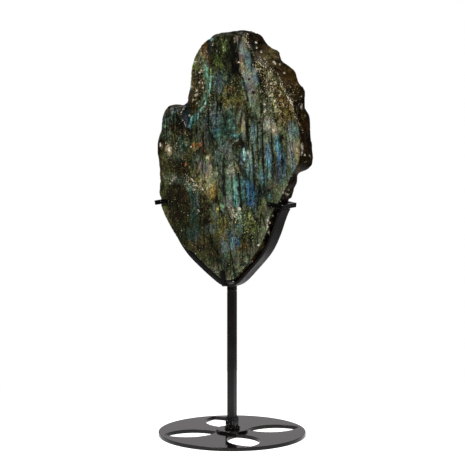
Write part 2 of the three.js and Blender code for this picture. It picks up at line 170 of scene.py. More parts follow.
def levels(tree, value, low, high, to_low=0.0, to_high=1.0):
    """A smooth step from to_low to to_high, while the value goes from low to high."""
    made = node(tree, "MapRange", {"interpolation_type": "SMOOTHSTEP"}, Value=value,
                From_Min=low, From_Max=high, To_Min=to_low, To_Max=to_high)
    return made.outputs["Result"]


def blend(tree, share, first, second, how="MIX"):
    mixed = node(tree, "MixRGB", {"blend_type": how}, Fac=share, Color1=first, Color2=second)
    return mixed.outputs["Color"]


def combine(tree, how, first, second):
    """Arithmetic on two values, each a number or a socket."""
    made = node(tree, "Math", {"operation": how})
    fill(tree, made.inputs[0], first)
    fill(tree, made.inputs[1], second)
    return made.outputs["Value"]


def times(tree, first, second):
    return combine(tree, "MULTIPLY", first, second)


def bumped(tree, height, strength, depth_mm, **below):
    """A normal that is tipped by a height, on top of the normal below it if one is given."""
    made = node(tree, "Bump", Height=height, Strength=strength, Distance=depth_mm * MM, **below)
    return made.outputs["Normal"]


def new_material(name):
    material = bpy.data.materials.new(name)
    material.use_nodes = True
    tree = material.node_tree
    tree.nodes.clear()
    skin = node(tree, "BsdfPrincipled")
    node(tree, "OutputMaterial", Surface=skin.outputs["BSDF"])
    return material, tree, skin


# %% [markdown]
# ## The stone's shape
#
# The frame's stone has the right outline, but a real rim is broken into small facets. A voxel
# remesh gives it even, fine faces to work with. The sawn face is then pressed exactly flat, and
# every other point is pushed inwards, never outwards, so the stone can't touch its cradle.


# %% Mesh helpers
def remeshed(node_name, piece_name, voxel):
    """A copy of a frame solid with small, even faces."""
    rough = add_object(piece_name + "_rough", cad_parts[node_name].data.copy())
    modifier = rough.modifiers.new("even", "REMESH")
    modifier.mode = "VOXEL"
    modifier.voxel_size = voxel
    modifier.adaptivity = 0
    mesh = mesh_with_modifiers(rough)
    bpy.data.objects.remove(rough)
    mesh.name = piece_name
    return add_object(piece_name, mesh)


def read_points(mesh):
    points = np.zeros(len(mesh.vertices) * 3)
    mesh.vertices.foreach_get("co", points)
    normals = np.zeros(len(mesh.vertices) * 3)
    mesh.vertex_normals.foreach_get("vector", normals)
    return points.reshape(-1, 3), normals.reshape(-1, 3)


def write_points(mesh, points):
    mesh.vertices.foreach_set("co", points.ravel())
    mesh.update()


def read_edges(mesh):
    edges = np.zeros(len(mesh.edges) * 2, dtype=int)
    mesh.edges.foreach_get("vertices", edges)
    return edges.reshape(-1, 2)


def round_corners(mesh, points, held, turns):
    """Moves each free point halfway to the middle of its neighbours, several times over."""
    edges = read_edges(mesh)
    first, second = edges.T
    count = np.bincount(edges.ravel(), minlength=len(points))[:, None]
    for turn in range(turns):
        total = np.zeros_like(points)
        np.add.at(total, first, points[second])
        np.add.at(total, second, points[first])
        middle = total / count
        points[~held] += 0.5 * (middle[~held] - points[~held])


# %% Flatten the face and round the corners
VOXEL = 1.28 * MM
FACE_Y = stone_low.y
FACE_SKIN = 0.7 * MM
FACES_FRONT = -0.2
ROUNDING_TURNS = 4

stone = remeshed("labradorite", "polished_stone", VOXEL)
points, normals = read_points(stone.data)
on_face = (normals[:, 1] < FACES_FRONT) & (points[:, 1] < FACE_Y + FACE_SKIN)
points[on_face, 1] = FACE_Y
round_corners(stone.data, points, on_face, turns=ROUNDING_TURNS)
write_points(stone.data, points)
points, normals = read_points(stone.data)
print("the stone has", len(points), "points,", int(on_face.sum()), "of them on the sawn face")


# %% Measure how far each point is from the edge of the sawn face
def edge_distance(mesh, points, on_face):
    """Distance along X and Z to the border of the face, for every point of the mesh."""
    edges = read_edges(mesh)
    crossing = on_face[edges[:, 0]] != on_face[edges[:, 1]]
    border = np.unique(edges[crossing])
    border = border[on_face[border]]
    tree = KDTree(len(border))
    for index in border:
        tree.insert((points[index, 0], 0, points[index, 2]), index)
    tree.balance()
    return np.array([tree.find((x, 0, z))[2] for x, y, z in points])


from_edge = edge_distance(stone.data, points, on_face)
print("the widest part of the face is", round(from_edge[on_face].max() / MM), "mm from its edge")

# %% Break up the rim
SWELL_SIZE = 17 * MM
SWELL_DEPTH = 0.5 * MM
FACET_SIZE = 7 * MM
FACET_SLOPE = 0.2
FACET_SHUFFLE = 7.3
CRUMB_SIZE = 3.4 * MM
CRUMB_DEPTH = 0.3 * MM
CRUMB_FADE = 0.9
OCTAVE_STEP = 2.0
OCTAVES = 3
EDGE_BLEND = 2.2 * MM


def facet(place, size):
    """Flat chips: each cell of the stone leans its own way."""
    scaled = place / size
    centre = noise.voronoi(scaled)[1][0]
    lean = noise.cell_vector(centre * FACET_SHUFFLE) - Vector((0.5, 0.5, 0.5))
    return lean.dot(scaled - centre) * size


def break_depth(place):
    depth = SWELL_DEPTH * noise.noise(place / SWELL_SIZE)
    depth += FACET_SLOPE * facet(place, FACET_SIZE)
    depth += CRUMB_DEPTH * noise.fractal(place / CRUMB_SIZE, CRUMB_FADE, OCTAVE_STEP, OCTAVES)
    return max(0, depth)


def break_rim(points, normals, on_face, from_edge):
    for index in np.nonzero(~on_face)[0]:
        x, y, z = points[index]
        near_face = max(from_edge[index], y - FACE_Y)
        share = min(1, near_face / EDGE_BLEND)
        points[index] -= normals[index] * break_depth(Vector((x, y, z))) * share
    points[:, 1] = np.maximum(points[:, 1], FACE_Y)


break_rim(points, normals, on_face, from_edge)
write_points(stone.data, points)
shade_smooth(stone.data)
print("the rim is broken, and the stone reaches", round(points[:, 2].max() / MM, 1), "mm up")

# %% [markdown]
# ## The stone's colours
#
# The flashes lie in zones, much as a painter would lay them in: a dark ground first, then veils
# of olive, brown and grey, then pale mists, and the blues and teals last. Each zone is an ellipse
# given in millimetres from the middle of the foot. Its border is pulled about by noise
# that is much longer than it is wide, because the layers in this stone stand on edge.

# %% Pigments
PAINT_CHART = {
    "black": (14, 14, 10),
    "pine": (36, 40, 26),
    "soot": (38, 33, 20),
    "umber": (74, 58, 36),
    "olive": (78, 80, 50),
    "moss": (78, 98, 48),
    "sage": (112, 120, 96),
    "slate": (64, 78, 70),
    "ink": (30, 40, 42),
    "grey": (124, 126, 118),
    "ash": (160, 164, 146),
    "haze": (102, 126, 126),
    "blue": (72, 122, 152),
    "navy": (34, 76, 114),
    "indigo": (54, 62, 84),
    "teal": (72, 120, 116),
    "petrol": (36, 64, 54),
    "cyan": (130, 186, 174),
    "ice": (186, 228, 216),
    "jade": (104, 148, 128),
    "gold": (146, 128, 62),
    "honey": (106, 88, 44),
    "tan": (148, 142, 112),
    "cream": (222, 212, 184),
    "rust": (136, 82, 50),
    "bark": (46, 42, 20),
    "coffee": (30, 22, 10),
    "chestnut": (62, 48, 22),
    "earth": (98, 68, 30),
    "taupe": (88, 80, 52),
    "leaf": (132, 150, 66),
    "blush": (242, 230, 208),
    "rock": (122, 114, 90),
}
PIGMENTS = {name: srgb(*parts) for name, parts in PAINT_CHART.items()}
print(len(PIGMENTS), "pigments")

# %% Ground of the sawn face
# Each row: pigment, x, z, half width, half height, strength, and a lean in degrees if any.
GROUND = [
    ("pine", 0, 470, 26, 34, 0.9),
    ("black", 11, 470, 6, 34, 0.9, 4),
    ("olive", 60, 440, 30, 40, 0.8, 20),
    ("honey", 82, 406, 10, 18, 0.8, 16),
    ("slate", -10, 436, 16, 14, 0.8),
    ("olive", 5, 418, 20, 12, 0.8),
    ("soot", -62, 380, 26, 16, 0.9),
    ("slate", -15, 390, 26, 20, 0.9),
    ("olive", -84, 345, 18, 30, 0.6),
    ("soot", -62, 334, 26, 13, 0.9),
    ("soot", -70, 285, 26, 38, 0.95),
    ("pine", -60, 248, 28, 18, 0.8, 30),
    ("soot", -28, 280, 9, 26, 0.95, 2),
    ("soot", -14, 232, 18, 18, 0.8, 20),
    ("pine", 0, 212, 26, 14, 0.8),
    ("pine", 40, 250, 22, 22, 0.7),
    ("tan", -25, 325, 16, 24, 0.55, 4),
    ("olive", -8, 270, 14, 34, 0.8, 8),
    ("ink", 50, 310, 14, 12, 0.9),
    ("sage", 54, 356, 32, 34, 0.6, 4),
    ("slate", 16, 330, 26, 40, 0.6, 6),
]

# %% Thin veils over the ground
VEILS = [
    ("pine", 40, 455, 5, 24, 0.6, 22),
    ("slate", 30, 470, 3, 18, 0.6, 22),
    ("moss", -4, 478, 3, 7, 0.8),
    ("moss", -12, 462, 7, 8, 0.5),
    ("honey", 3, 431, 8, 5, 0.6),
    ("gold", 1, 414, 5, 5, 0.4),
    ("honey", 15, 416, 5, 7, 0.5),
    ("teal", 8, 396, 5, 14, 0.4, 4),
    ("petrol", -5, 380, 12, 8, 0.8, 10),
    ("teal", 16, 374, 12, 3, 0.6),
    ("teal", -12, 372, 5, 10, 0.4, 24),
    ("haze", -2, 362, 5, 8, 0.4, 30),
    ("soot", 16, 364, 14, 6, 0.85, -8),
    ("black", 46, 440, 4, 20, 0.6, 18),
    ("soot", 56, 436, 7, 18, 0.7, 20),
    ("tan", 64, 428, 6, 20, 0.4, 22),
    ("earth", 75, 422, 6, 16, 0.5, 24),
    ("soot", 63, 268, 4, 12, 0.8, -10),
    ("slate", 52, 404, 5, 10, 0.6, 14),
    ("slate", 40, 392, 6, 14, 0.7, 6),
    ("umber", 99, 376, 6, 12, 0.6, 10),
    ("slate", -84, 396, 9, 10, 0.7),
    ("teal", -94, 388, 4, 9, 0.6),
    ("haze", -75, 404, 6, 5, 0.6),
    ("teal", -50, 396, 6, 12, 0.7, -10),
    ("slate", -35, 392, 8, 8, 0.8),
    ("slate", -88, 372, 8, 10, 0.6),
    ("petrol", -63, 362, 9, 9, 0.8),
    ("slate", -72, 352, 9, 9, 0.8),
    ("umber", -33, 362, 5, 14, 0.8, 2),
    ("tan", -97, 360, 3, 7, 0.9),
    ("tan", -83, 354, 4, 6, 0.9, 20),
    ("slate", -40, 344, 8, 8, 0.6),
    ("honey", -20, 300, 7, 12, 0.5, 6),
    ("slate", -70, 318, 16, 5, 0.6),
    ("olive", -92, 312, 6, 34, 0.7),
    ("olive", -88, 275, 10, 9, 0.6, 40),
    ("gold", -12, 290, 4, 14, 0.3, 24),
    ("olive", -8, 262, 6, 26, 0.5, 4),
    ("jade", -5, 282, 4, 10, 0.6, 4),
    ("umber", -42, 240, 12, 8, 0.7),
    ("olive", 12, 334, 9, 8, 0.8),
    ("moss", 36, 266, 12, 12, 0.35),
    ("umber", 28, 236, 10, 8, 0.6),
]

# %% Pale mists, where the stone is cloudy
MISTS = [
    ("tan", 19, 490, 5, 6, 0.7, 10),
    ("grey", 20, 483, 5, 8, 0.9, 12),
    ("grey", 24, 475, 6, 7, 0.8, 14),
    ("haze", 29, 469, 5, 8, 0.6, 16),
    ("tan", 21, 459, 4.5, 8, 0.7, 20),
    ("haze", 31, 460, 4.5, 8, 0.6, 18),
    ("ash", 31, 447, 6.5, 9, 1, 14),
    ("haze", 39, 444, 4, 9, 0.65, 16),
    ("haze", 26, 436, 4, 8, 0.8, 16),
    ("grey", 34, 431, 6, 7, 0.8, 16),
    ("sage", 42, 425, 4, 8, 0.7, 14),
    ("ash", 35, 418, 5.5, 8, 0.7, 12),
    ("sage", 41, 405, 5, 12, 0.75, 10),
    ("slate", -14, 441, 9, 6, 0.8),
    ("haze", -12, 434, 5, 8, 0.5),
    ("grey", 21, 398, 5, 9, 0.6, 6),
    ("tan", 24, 386, 4.5, 10, 0.85, 6),
    ("haze", -14, 396, 6, 14, 0.45, 6),
    ("sage", 57, 410, 6, 12, 0.6, 12),
    ("tan", 67, 384, 4, 9, 0.8),
    ("ash", 58, 389, 8, 7, 0.85),
    ("haze", 92, 380, 6.5, 11, 0.9),
    ("ash", 89, 362, 5, 18, 0.6),
    ("tan", 97, 356, 5, 20, 0.7),
    ("grey", -30, 334, 7, 9, 0.7),
    ("tan", -24, 320, 6, 9, 0.85),
    ("gold", -18, 306, 6, 9, 0.3),
    ("ash", 5, 328, 6, 14, 0.7, 3),
    ("sage", 4, 316, 5, 16, 0.7, 5),
    ("grey", 2, 292, 5, 9, 0.75, 4),
    ("sage", -2, 280, 4, 9, 0.7, 8),
    ("gold", -8, 262, 5, 18, 0.2, 4),
    ("grey", -17, 280, 4, 10, 0.5),
    ("sage", 12, 227, 8, 9, 0.6, 20),
    ("grey", -1, 236, 4, 8, 0.5),
    ("sage", -83, 318, 9, 6, 0.4),
    ("sage", 68, 462, 12, 5, 0.35, -36),
]

# %% Flashes of blue, teal and green
FLASHES = [
    ("haze", 38, 372, 3.5, 20, 0.8, 4),
    ("haze", 47, 366, 2.5, 18, 0.6, 4),
    ("blue", 59, 350, 5.5, 15, 0.8, 4),
    ("blue", 75, 351, 5, 25, 0.95, 12),
    ("teal", 71, 368, 3.5, 9, 0.7, 6),
    ("sage", 59, 374, 6, 8, 0.7),
    ("grey", 88, 358, 5, 18, 0.5, 2),
    ("haze", 92, 342, 4.5, 15, 0.7, 2),
    ("ice", 26, 353, 6, 8, 0.75, 10),
    ("ash", 32, 344, 4, 10, 0.8, 12),
    ("cream", 33, 351, 3, 6, 0.5, 6),
    ("haze", 33, 338, 6, 17, 0.9, 8),
    ("blue", 20, 346, 4, 9, 0.5, 6),
    ("teal", 31, 322, 6, 12, 0.8, 6),
    ("blue", 31, 312, 5, 12, 0.9, 5),
    ("navy", 38, 308, 4, 12, 0.9, 4),
    ("navy", 31, 300, 6, 14, 0.9, 4),
    ("teal", 24, 306, 4, 18, 0.8, 4),
    ("cyan", 14, 308, 6, 18, 0.6, 6),
    ("teal", 13, 292, 5, 14, 0.8, 5),
    ("jade", 5, 310, 5, 18, 0.7, 4),
    ("grey", 3, 292, 5, 10, 0.6, 4),
    ("teal", 50, 330, 6, 12, 0.6, 3),
    ("blue", 52, 322, 5, 8, 0.5, 3),
    ("haze", 63, 332, 6, 12, 0.6, 4),
    ("indigo", 72, 330, 4, 14, 0.8, 2),
    ("blue", 78, 328, 3, 12, 0.4, 2),
    ("haze", -8, 336, 3.5, 26, 0.6, 3),
    ("teal", -16, 338, 5, 20, 0.4, 3),
    ("slate", -4, 306, 3, 14, 0.7, 3),
    ("grey", 3, 352, 7, 10, 0.5, 4),
    ("slate", -14, 350, 8, 8, 0.6),
    ("haze", -30, 367, 12, 9, 0.35),
    ("haze", -43, 294, 5, 14, 0.6, 3),
    ("petrol", -48, 296, 4, 20, 0.7, 3),
    ("petrol", -43, 268, 4, 16, 0.8, 2),
    ("petrol", -47, 262, 4, 20, 0.8, 2),
    ("navy", -42, 250, 4, 8, 0.4),
    ("petrol", -51, 250, 6, 8, 0.8),
    ("teal", -54, 308, 5, 6, 0.6),
    ("haze", -22, 258, 9, 6, 0.5),
    ("slate", -18, 284, 5, 8, 0.8),
    ("teal", 14, 270, 9, 10, 0.6, 4),
    ("haze", 9, 280, 6, 4, 0.7),
    ("jade", 22, 268, 6, 14, 0.5, 4),
    ("haze", 14, 256, 8, 10, 0.6),
    ("navy", 14, 245, 6, 6, 0.8),
    ("blue", 4, 250, 4, 12, 0.6, 6),
    ("haze", 6, 238, 4, 12, 0.7, 10),
    ("haze", -4, 236, 5, 14, 0.7, 4),
    ("slate", -3, 220, 4, 10, 0.8, 4),
    ("blue", 40, 292, 5, 14, 0.5, 4),
    ("teal", 60, 301, 3, 5, 0.9),
]

# %% Small marks: dark streaks and pits, fine pale scratches and rusty spots
MARKS = [
    ("grey", 11, 366, 1.2, 9, 0.7, -50),
    ("black", 24, 329, 4, 13, 0.85, 40),
    ("tan", 15, 336, 1.5, 8, 0.7, 30),
    ("grey", 52, 333, 14, 0.8, 0.6),
    ("grey", -13, 428, 12, 0.8, 0.6, -6),
    ("grey", -12, 402, 14, 0.8, 0.5, 12),
    ("black", 31.5, 443, 1.8, 1.6, 1),
    ("soot", 38, 427, 2.6, 2.2, 1),
    ("black", 45, 391, 3, 2, 0.9),
    ("pine", 28, 382, 1.3, 26, 0.8, 8),
    ("black", 35, 392, 1.2, 14, 0.5, 8),
    ("black", 37, 340, 1.4, 30, 0.75, 4),
    ("black", 51, 352, 1.5, 34, 0.75, 4),
    ("black", 64, 352, 1.6, 34, 0.8, 3),
    ("pine", 77, 352, 2, 26, 0.75, 2),
    ("black", 19, 305, 1.3, 26, 0.7, 7),
    ("pine", -3, 328, 1.2, 32, 0.6, 3),
    ("pine", -20, 352, 1.4, 26, 0.6, 2),
    ("ink", 8, 310, 1.2, 22, 0.6, 6),
    ("ink", 45, 300, 5, 10, 0.6),
    ("soot", 10, 270, 8, 4, 0.7),
    ("gold", -13, 283, 1.6, 5, 0.7, -30),
    ("rust", -47, 361, 2.2, 2.8, 0.7),
    ("rust", -38.5, 361, 2.2, 3, 0.95),
    ("rust", -59, 337, 1.6, 2, 0.9),
]
print(sum(map(len, (GROUND, VEILS, MISTS, FLASHES, MARKS))), "zones on the sawn face")

# %% Chips: pale, gold and rusty spots on the face and on the rim, each with a painted glint, a near-white highlight laid over it
GLINT_CHIPS = [
    ("cream", 18, 285, 2.2, 2.6, 1),
    ("gold", 9, 284, 1.6, 1.6, 1),
    ("cream", 14, 279, 1.8, 2.4, 0.9),
    ("gold", 13, 269, 1.4, 1.8, 1),
    ("gold", -50, 318, 1.5, 2.4, 1),
    ("cream", -47, 306, 2.4, 1.6, 0.8),
    ("cream", -54, 312, 1.6, 1.4, 0.7),
    ("cream", -34, 307, 1.8, 1.6, 0.8),
    ("tan", -40, 280, 1.6, 1.6, 1),
    ("cream", 61, 313, 1.6, 2, 0.5),
    ("cream", 53, 413, 1.8, 1.6, 0.8),
    ("tan", 52, 403, 2.2, 2.4, 0.7),
    ("blush", -83, 354, 1.8, 3.2, 0.9, 24),
    ("blush", -96, 360, 1.4, 3, 0.9),
    ("tan", -53, 397, 1.8, 1.8, 0.9),
    ("cream", -51, 359, 1.6, 1.4, 0.8),
    ("ice", -28, 346, 1.8, 1.4, 0.8),
    ("gold", -57, 323, 1.4, 1.2, 0.9),
    ("tan", -53, 334, 1.6, 1.2, 0.8),
    ("rust", -60, 285, 1.4, 1.4, 0.55),
    ("rust", -55, 274, 1.2, 1.6, 0.55),
    ("rust", -55, 267, 1.2, 1.4, 0.55),
    ("tan", -65, 254, 1.4, 1.2, 0.8),
    ("tan", -45, 226, 1.4, 1.2, 0.8),
    ("tan", 62, 438, 1.6, 1.6, 0.9),
    ("cream", 66.5, 438, 1.4, 2.4, 0.8, 10),
    ("tan", 60, 424, 1.4, 1.4, 0.8),
    ("cream", 67, 417, 1.4, 1.6, 0.7),
    ("tan", 17, 463, 2.4, 1.2, 0.8),
    ("cream", -3, 477, 1.6, 1.6, 0.7),
    ("leaf", -5, 480, 1.2, 3, 0.8, 10),
    ("cream", 65, 382, 2.4, 1.8, 0.8),
    ("blush", -45, 463, 1.3, 1.8, 1),
    ("blush", -38, 450.5, 1.5, 1.5, 1),
    ("tan", -36, 453, 1.6, 1.6, 0.9),
    ("cream", -39, 438, 1.3, 1.3, 0.9),
    ("cream", -34, 438, 1.1, 1.3, 0.9),
    ("cream", -50, 432, 1.2, 1.4, 0.8),
    ("cream", -42, 428, 1.4, 1.2, 0.9),
    ("blush", -43, 423, 2.2, 1.6, 1),
    ("cream", -47, 417, 1.2, 1.2, 0.9),
    ("cream", -44, 417, 1.2, 1.2, 0.9),
    ("cream", -42, 413, 1.3, 1.1, 0.8),
    ("cream", -33, 432, 1.3, 1.3, 0.8),
    ("blush", -19, 485, 1.3, 2.4, 0.9),
    ("tan", -14, 477, 1.2, 1.6, 0.7),
    ("cream", 29, 497, 1.8, 1.3, 0.7),
    ("tan", 41, 487, 1.6, 2.2, 1),
    ("leaf", 42, 481, 1.6, 1.8, 0.8),
    ("blush", 48, 476, 1.6, 1.8, 1, 20),
    ("cream", 69, 470, 1.3, 1.3, 0.6),
    ("blush", 66.5, 463, 1.3, 3, 1, 40),
    ("cream", 74, 461, 1.4, 1.5, 0.65),
    ("cream", 80, 451, 1.2, 2, 0.9, 30),
    ("cream", 62, 418, 1.3, 1.5, 0.9),
    ("cream", 68, 410, 1.3, 1.8, 0.9),
    ("tan", 54, 406, 1.2, 1.5, 0.9),
    ("blush", 104, 423, 1.2, 1.6, 0.9),
    ("cream", 97, 437, 1.3, 1.3, 0.6),
    ("cream", 101, 430, 1.2, 1.3, 0.6),
    ("blush", 104, 411, 2.2, 4.2, 1, 4),
    ("cream", 109, 400, 1.3, 1.8, 0.8),
    ("cream", 104, 364, 2.2, 2.6, 1),
    ("cream", 104.5, 357, 1.4, 2.2, 1),
    ("blush", 108.5, 353, 1.4, 1.3, 1),
    ("blush", 115, 352, 1.5, 1.6, 0.9, 20),
    ("blush", 110, 345, 2.4, 1.1, 0.7, 20),
    ("tan", 91, 328, 1.3, 1.3, 0.8),
    ("gold", 85, 317, 2, 1, 0.8),
    ("gold", 87, 310, 1.6, 1.8, 0.9),
    ("blush", 79, 307, 1.4, 1.5, 1),
    ("blush", 84, 305, 3, 1.2, 1, -16),
    ("blush", 58, 274, 1.4, 1.8, 1),
    ("blush", 58, 265, 1.8, 1.4, 1),
    ("blush", 59, 258, 1.8, 1.2, 0.9),
    ("cream", 45, 242, 1.6, 1.2, 0.9),
    ("cream", 72, 281, 1.4, 1.2, 0.8),
    ("cream", 65, 279, 1.2, 1.2, 0.8),
    ("blush", 75, 297, 1.2, 1.2, 0.9),
    ("tan", 79, 300, 1.2, 1.4, 0.8),
    ("blush", 61, 270, 1.3, 1.3, 0.9),
    ("blush", 56, 262, 1.2, 1.3, 0.8),
    ("tan", 53, 251, 1.2, 1.2, 0.8),
    ("tan", 33, 220, 2.6, 1, 0.8, 40),
    ("gold", 22, 208, 1.6, 1, 0.8, 30),
]

# %% Quiet places, where the stone is smooth and hardly mottled
# Each row: x, z, half width, half height, strength, and a lean in degrees if any.
QUIET = [
    (-74, 288, 24, 48, 0.85, 4),
    (-60, 250, 26, 26, 0.8),
    (-20, 232, 24, 26, 0.6),
    (48, 250, 14, 34, 0.8, -20),
    (70, 306, 16, 26, 0.8, -24),
    (90, 345, 12, 34, 0.7, -6),
    (60, 472, 12, 14, 0.6, -30),
    (85, 446, 14, 14, 0.6, -40),
    (98, 412, 8, 12, 0.2, -12),
    (99, 334, 8, 5, 0.8, -30),
    (36, 492, 16, 8, 0.3, -20),
]

# %% Cracks between the layers
# Each crack: its corners as x and z, its half width, and how dark it is.
CRACKS = [
    ([(13, 493), (15, 478), (17, 462), (15, 452), (23, 444), (26, 432), (30, 418)], 1.3, 0.9),
    ([(27, 493), (33, 478), (39, 462), (44, 450), (48, 438), (52, 428), (57, 416)], 1.6, 0.85),
    ([(-22, 464), (-21, 440), (-21, 420), (-20, 404)], 0.9, 0.8),
    ([(-14, 440), (-13, 420), (-12, 398)], 0.9, 0.7),
    ([(-8, 428), (-8, 405)], 0.9, 0.7),
    ([(8, 415), (8, 396)], 0.9, 0.7),
    ([(70, 424), (74, 412), (78, 398)], 1.3, 0.8),
    ([(58, 446), (66, 428), (70, 416)], 1, 0.6),
    ([(82, 424), (86, 408), (90, 396)], 1, 0.7),
    ([(48, 424), (50, 410), (52, 400)], 1.1, 0.7),
    ([(28, 410), (29, 396), (29, 380), (31, 364)], 1.5, 0.95),
    ([(36, 364), (38, 345), (39, 328), (39, 308)], 1.3, 0.9),
    ([(42, 400), (43, 380), (44, 362), (46, 345)], 1, 0.75),
    ([(50, 396), (50, 380), (51, 358), (52, 335)], 1.4, 0.85),
    ([(62, 378), (64, 360), (66, 345), (69, 326)], 1.1, 0.8),
    ([(75, 374), (76, 352), (78, 332)], 2, 0.7),
    ([(82, 374), (83, 348)], 1, 0.6),
    ([(-2, 402), (-2, 384)], 0.9, 0.6),
    ([(-26, 402), (-25, 380), (-24, 356)], 1, 0.7),
    ([(-34, 378), (-32, 352)], 0.9, 0.6),
    ([(-43, 400), (-43, 376)], 0.9, 0.6),
    ([(16, 332), (18, 316), (20, 300), (22, 286)], 1.2, 0.9),
    ([(26, 322), (27, 305), (28, 288)], 0.9, 0.7),
    ([(-5, 346), (-5, 325), (-4, 303)], 1.2, 0.8),
    ([(-12, 334), (-11, 308)], 0.9, 0.6),
    ([(8, 322), (9, 302), (8, 290)], 0.9, 0.6),
    ([(47, 318), (45, 298), (43, 284)], 1.2, 0.7),
    ([(-38, 300), (-37, 280), (-38, 258)], 1.4, 0.7),
    ([(-26, 246), (-19, 238), (-12, 228)], 1.3, 0.8),
    ([(-20, 378), (-19, 350)], 0.9, 0.6),
    ([(19, 264), (20, 244)], 0.8, 0.6),
    ([(3, 270), (4, 248), (6, 232)], 0.8, 0.6),
]
print(len(GLINT_CHIPS), "chips,", len(QUIET), "quiet places and", len(CRACKS), "cracks")

# %% Measure the stone in millimetres
# The colours run back through the stone at a slant, so that a zone stays whole where it crosses
# from the face to the rim.
LAYER_SLANT = 0.574
SWAY_MM = 2.6
SWAY_SIZE = (14, 22, 3.3)
RAGGED = 0.5
RAGGED_SEEDS = (0.2, 7.7, 13.1)


def streaks(x, z, across, along, seed):
    """Noise that is across millimetres wide and along millimetres tall, from -1 to 1."""
    return np.array([noise.noise((a / across, seed, b / along)) for a, b in zip(x, z)])


z_mm = points[:, 2] / MM
x_mm = (points[:, 0] + LAYER_SLANT * (points[:, 1] - FACE_Y)) / MM
sway = SWAY_MM * streaks(x_mm, z_mm, *SWAY_SIZE)
ragged = [
    RAGGED * (streaks(x_mm, z_mm, 2.4, 22, seed) + 0.9 * streaks(x_mm, z_mm, 6, 9, seed + 5))
    for seed in RAGGED_SEEDS
]
print("zone borders sway by up to", round(abs(sway).max(), 1), "mm")

# %% Ways to lay zones and lines
GROUND_SOFTNESS = 0.65
FLASH_SOFTNESS = 0.5
MARK_SOFTNESS = 0.35
MARK_WOBBLE = 0.3
FARTHEST = 1.5
FARTHEST_SWAY_MM = 6


def zone_share(row, softness, wobble, x, z, half_width, half_height, strength, lean=0):
    """The points near a zone, and how far it covers each of them."""
    reach = (FARTHEST + softness) * max(half_width, half_height) + FARTHEST_SWAY_MM
    near = np.nonzero((abs(x_mm - x) < reach) & (abs(z_mm - z) < reach))[0]
    turn = math.radians(lean)
    dx = x_mm[near] - x + wobble * sway[near]
    dz = z_mm[near] - z
    u = (dx * math.cos(turn) + dz * math.sin(turn)) / half_width
    v = (dz * math.cos(turn) - dx * math.sin(turn)) / half_height
    far = np.hypot(u, v) + wobble * ragged[row % len(ragged)][near]
    share = np.clip((1.0 + softness - far) / (2 * softness), 0, 1)
    return near, share * share * (3 - 2 * share) * strength


def cover_zones(zones, softness=GROUND_SOFTNESS):
    """How far zones without a pigment cover each point."""
    covered = np.zeros(len(points))
    for row, zone in enumerate(zones):
        near, share = zone_share(row, softness, 1.0, *zone)
        covered[near] += (1 - covered[near]) * share
    return covered


def lay_zones(colours, zones, softness=GROUND_SOFTNESS, wobble=1.0):
    """Mixes each zone's pigment over the colours, and returns how far the zones cover them."""
    covered = np.zeros(len(points))
    for row, (pigment, *zone) in enumerate(zones):
        near, share = zone_share(row, softness, wobble, *zone)
        colours[near] += (np.array(PIGMENTS[pigment]) - colours[near]) * share[:, None]
        covered[near] += (1 - covered[near]) * share
    return covered


def line_closeness(lines):
    """1 on a line of corners, fading out past its width, for every point of the stone."""
    closeness = np.zeros(len(points))
    for corners, width, strength in lines:
        for (x0, z0), (x1, z1) in zip(corners, corners[1:]):
            length = math.hypot(x1 - x0, z1 - z0)
            along = ((x_mm - x0) * (x1 - x0) + (z_mm - z0) * (z1 - z0)) / length ** 2
            along = np.clip(along, 0, 1)
            away = np.hypot(x_mm - x0 - along * (x1 - x0), z_mm - z0 - along * (z1 - z0))
            closeness = np.maximum(closeness, strength * np.clip(1.5 - away / width, 0, 1))
    return closeness


def plain_coat(pigment):
    return np.tile(np.array(PIGMENTS[pigment]), (len(points), 1))


def mix_in(colours, pigment, share):
    """Mixes a pigment into every point's colour by its share."""
    colours += (np.array(PIGMENTS[pigment]) - colours) * share[:, None]


# %% Paint the zones onto the face
paint = plain_coat("olive")
lay_zones(paint, GROUND)
lay_zones(paint, VEILS)
calm = np.maximum(lay_zones(paint, MISTS), cover_zones(QUIET))
glow = plain_coat("slate")
shown = lay_zones(glow, FLASHES, FLASH_SOFTNESS)
dark = np.clip(line_closeness(CRACKS) * (1 + 0.8 * ragged[2]), 0, 1)
mix_in(paint, "black", dark)
shown *= 1 - dark
shown *= 1 - lay_zones(paint, MARKS, MARK_SOFTNESS, MARK_WOBBLE)
print("flashes cover", round(100 * float((shown[on_face] > 0.5).mean())), "% of the face")

# %% Find where painted glints gather as bright flecks
SPARKLES = [
    (-50, 312, 10, 10, 0.9),
    (-36, 306, 6, 5, 0.6),
    (-60, 262, 14, 16, 0.12),
    (-44, 236, 14, 10, 0.12),
    (14, 277, 12, 12, 0.8),
    (15, 260, 14, 16, 0.45),
    (32, 262, 12, 18, 0.6),
    (60, 440, 12, 30, 0.7, 20),
    (46, 460, 9, 7, 0.9, 40),
    (68, 410, 14, 24, 0.5, 16),
    (55, 395, 14, 12, 0.4),
    (28, 488, 4, 9, 0.8, 30),
    (-80, 318, 12, 8, 0.5),
    (-64, 356, 12, 20, 0.4),
    (10, 335, 8, 8, 0.6),
    (4, 425, 20, 14, 0.35),
    (-38, 448, 18, 44, 0.6, 8),
    (94, 420, 10, 22, 0.5, -10),
    (-84, 355, 12, 10, 0.6),
]
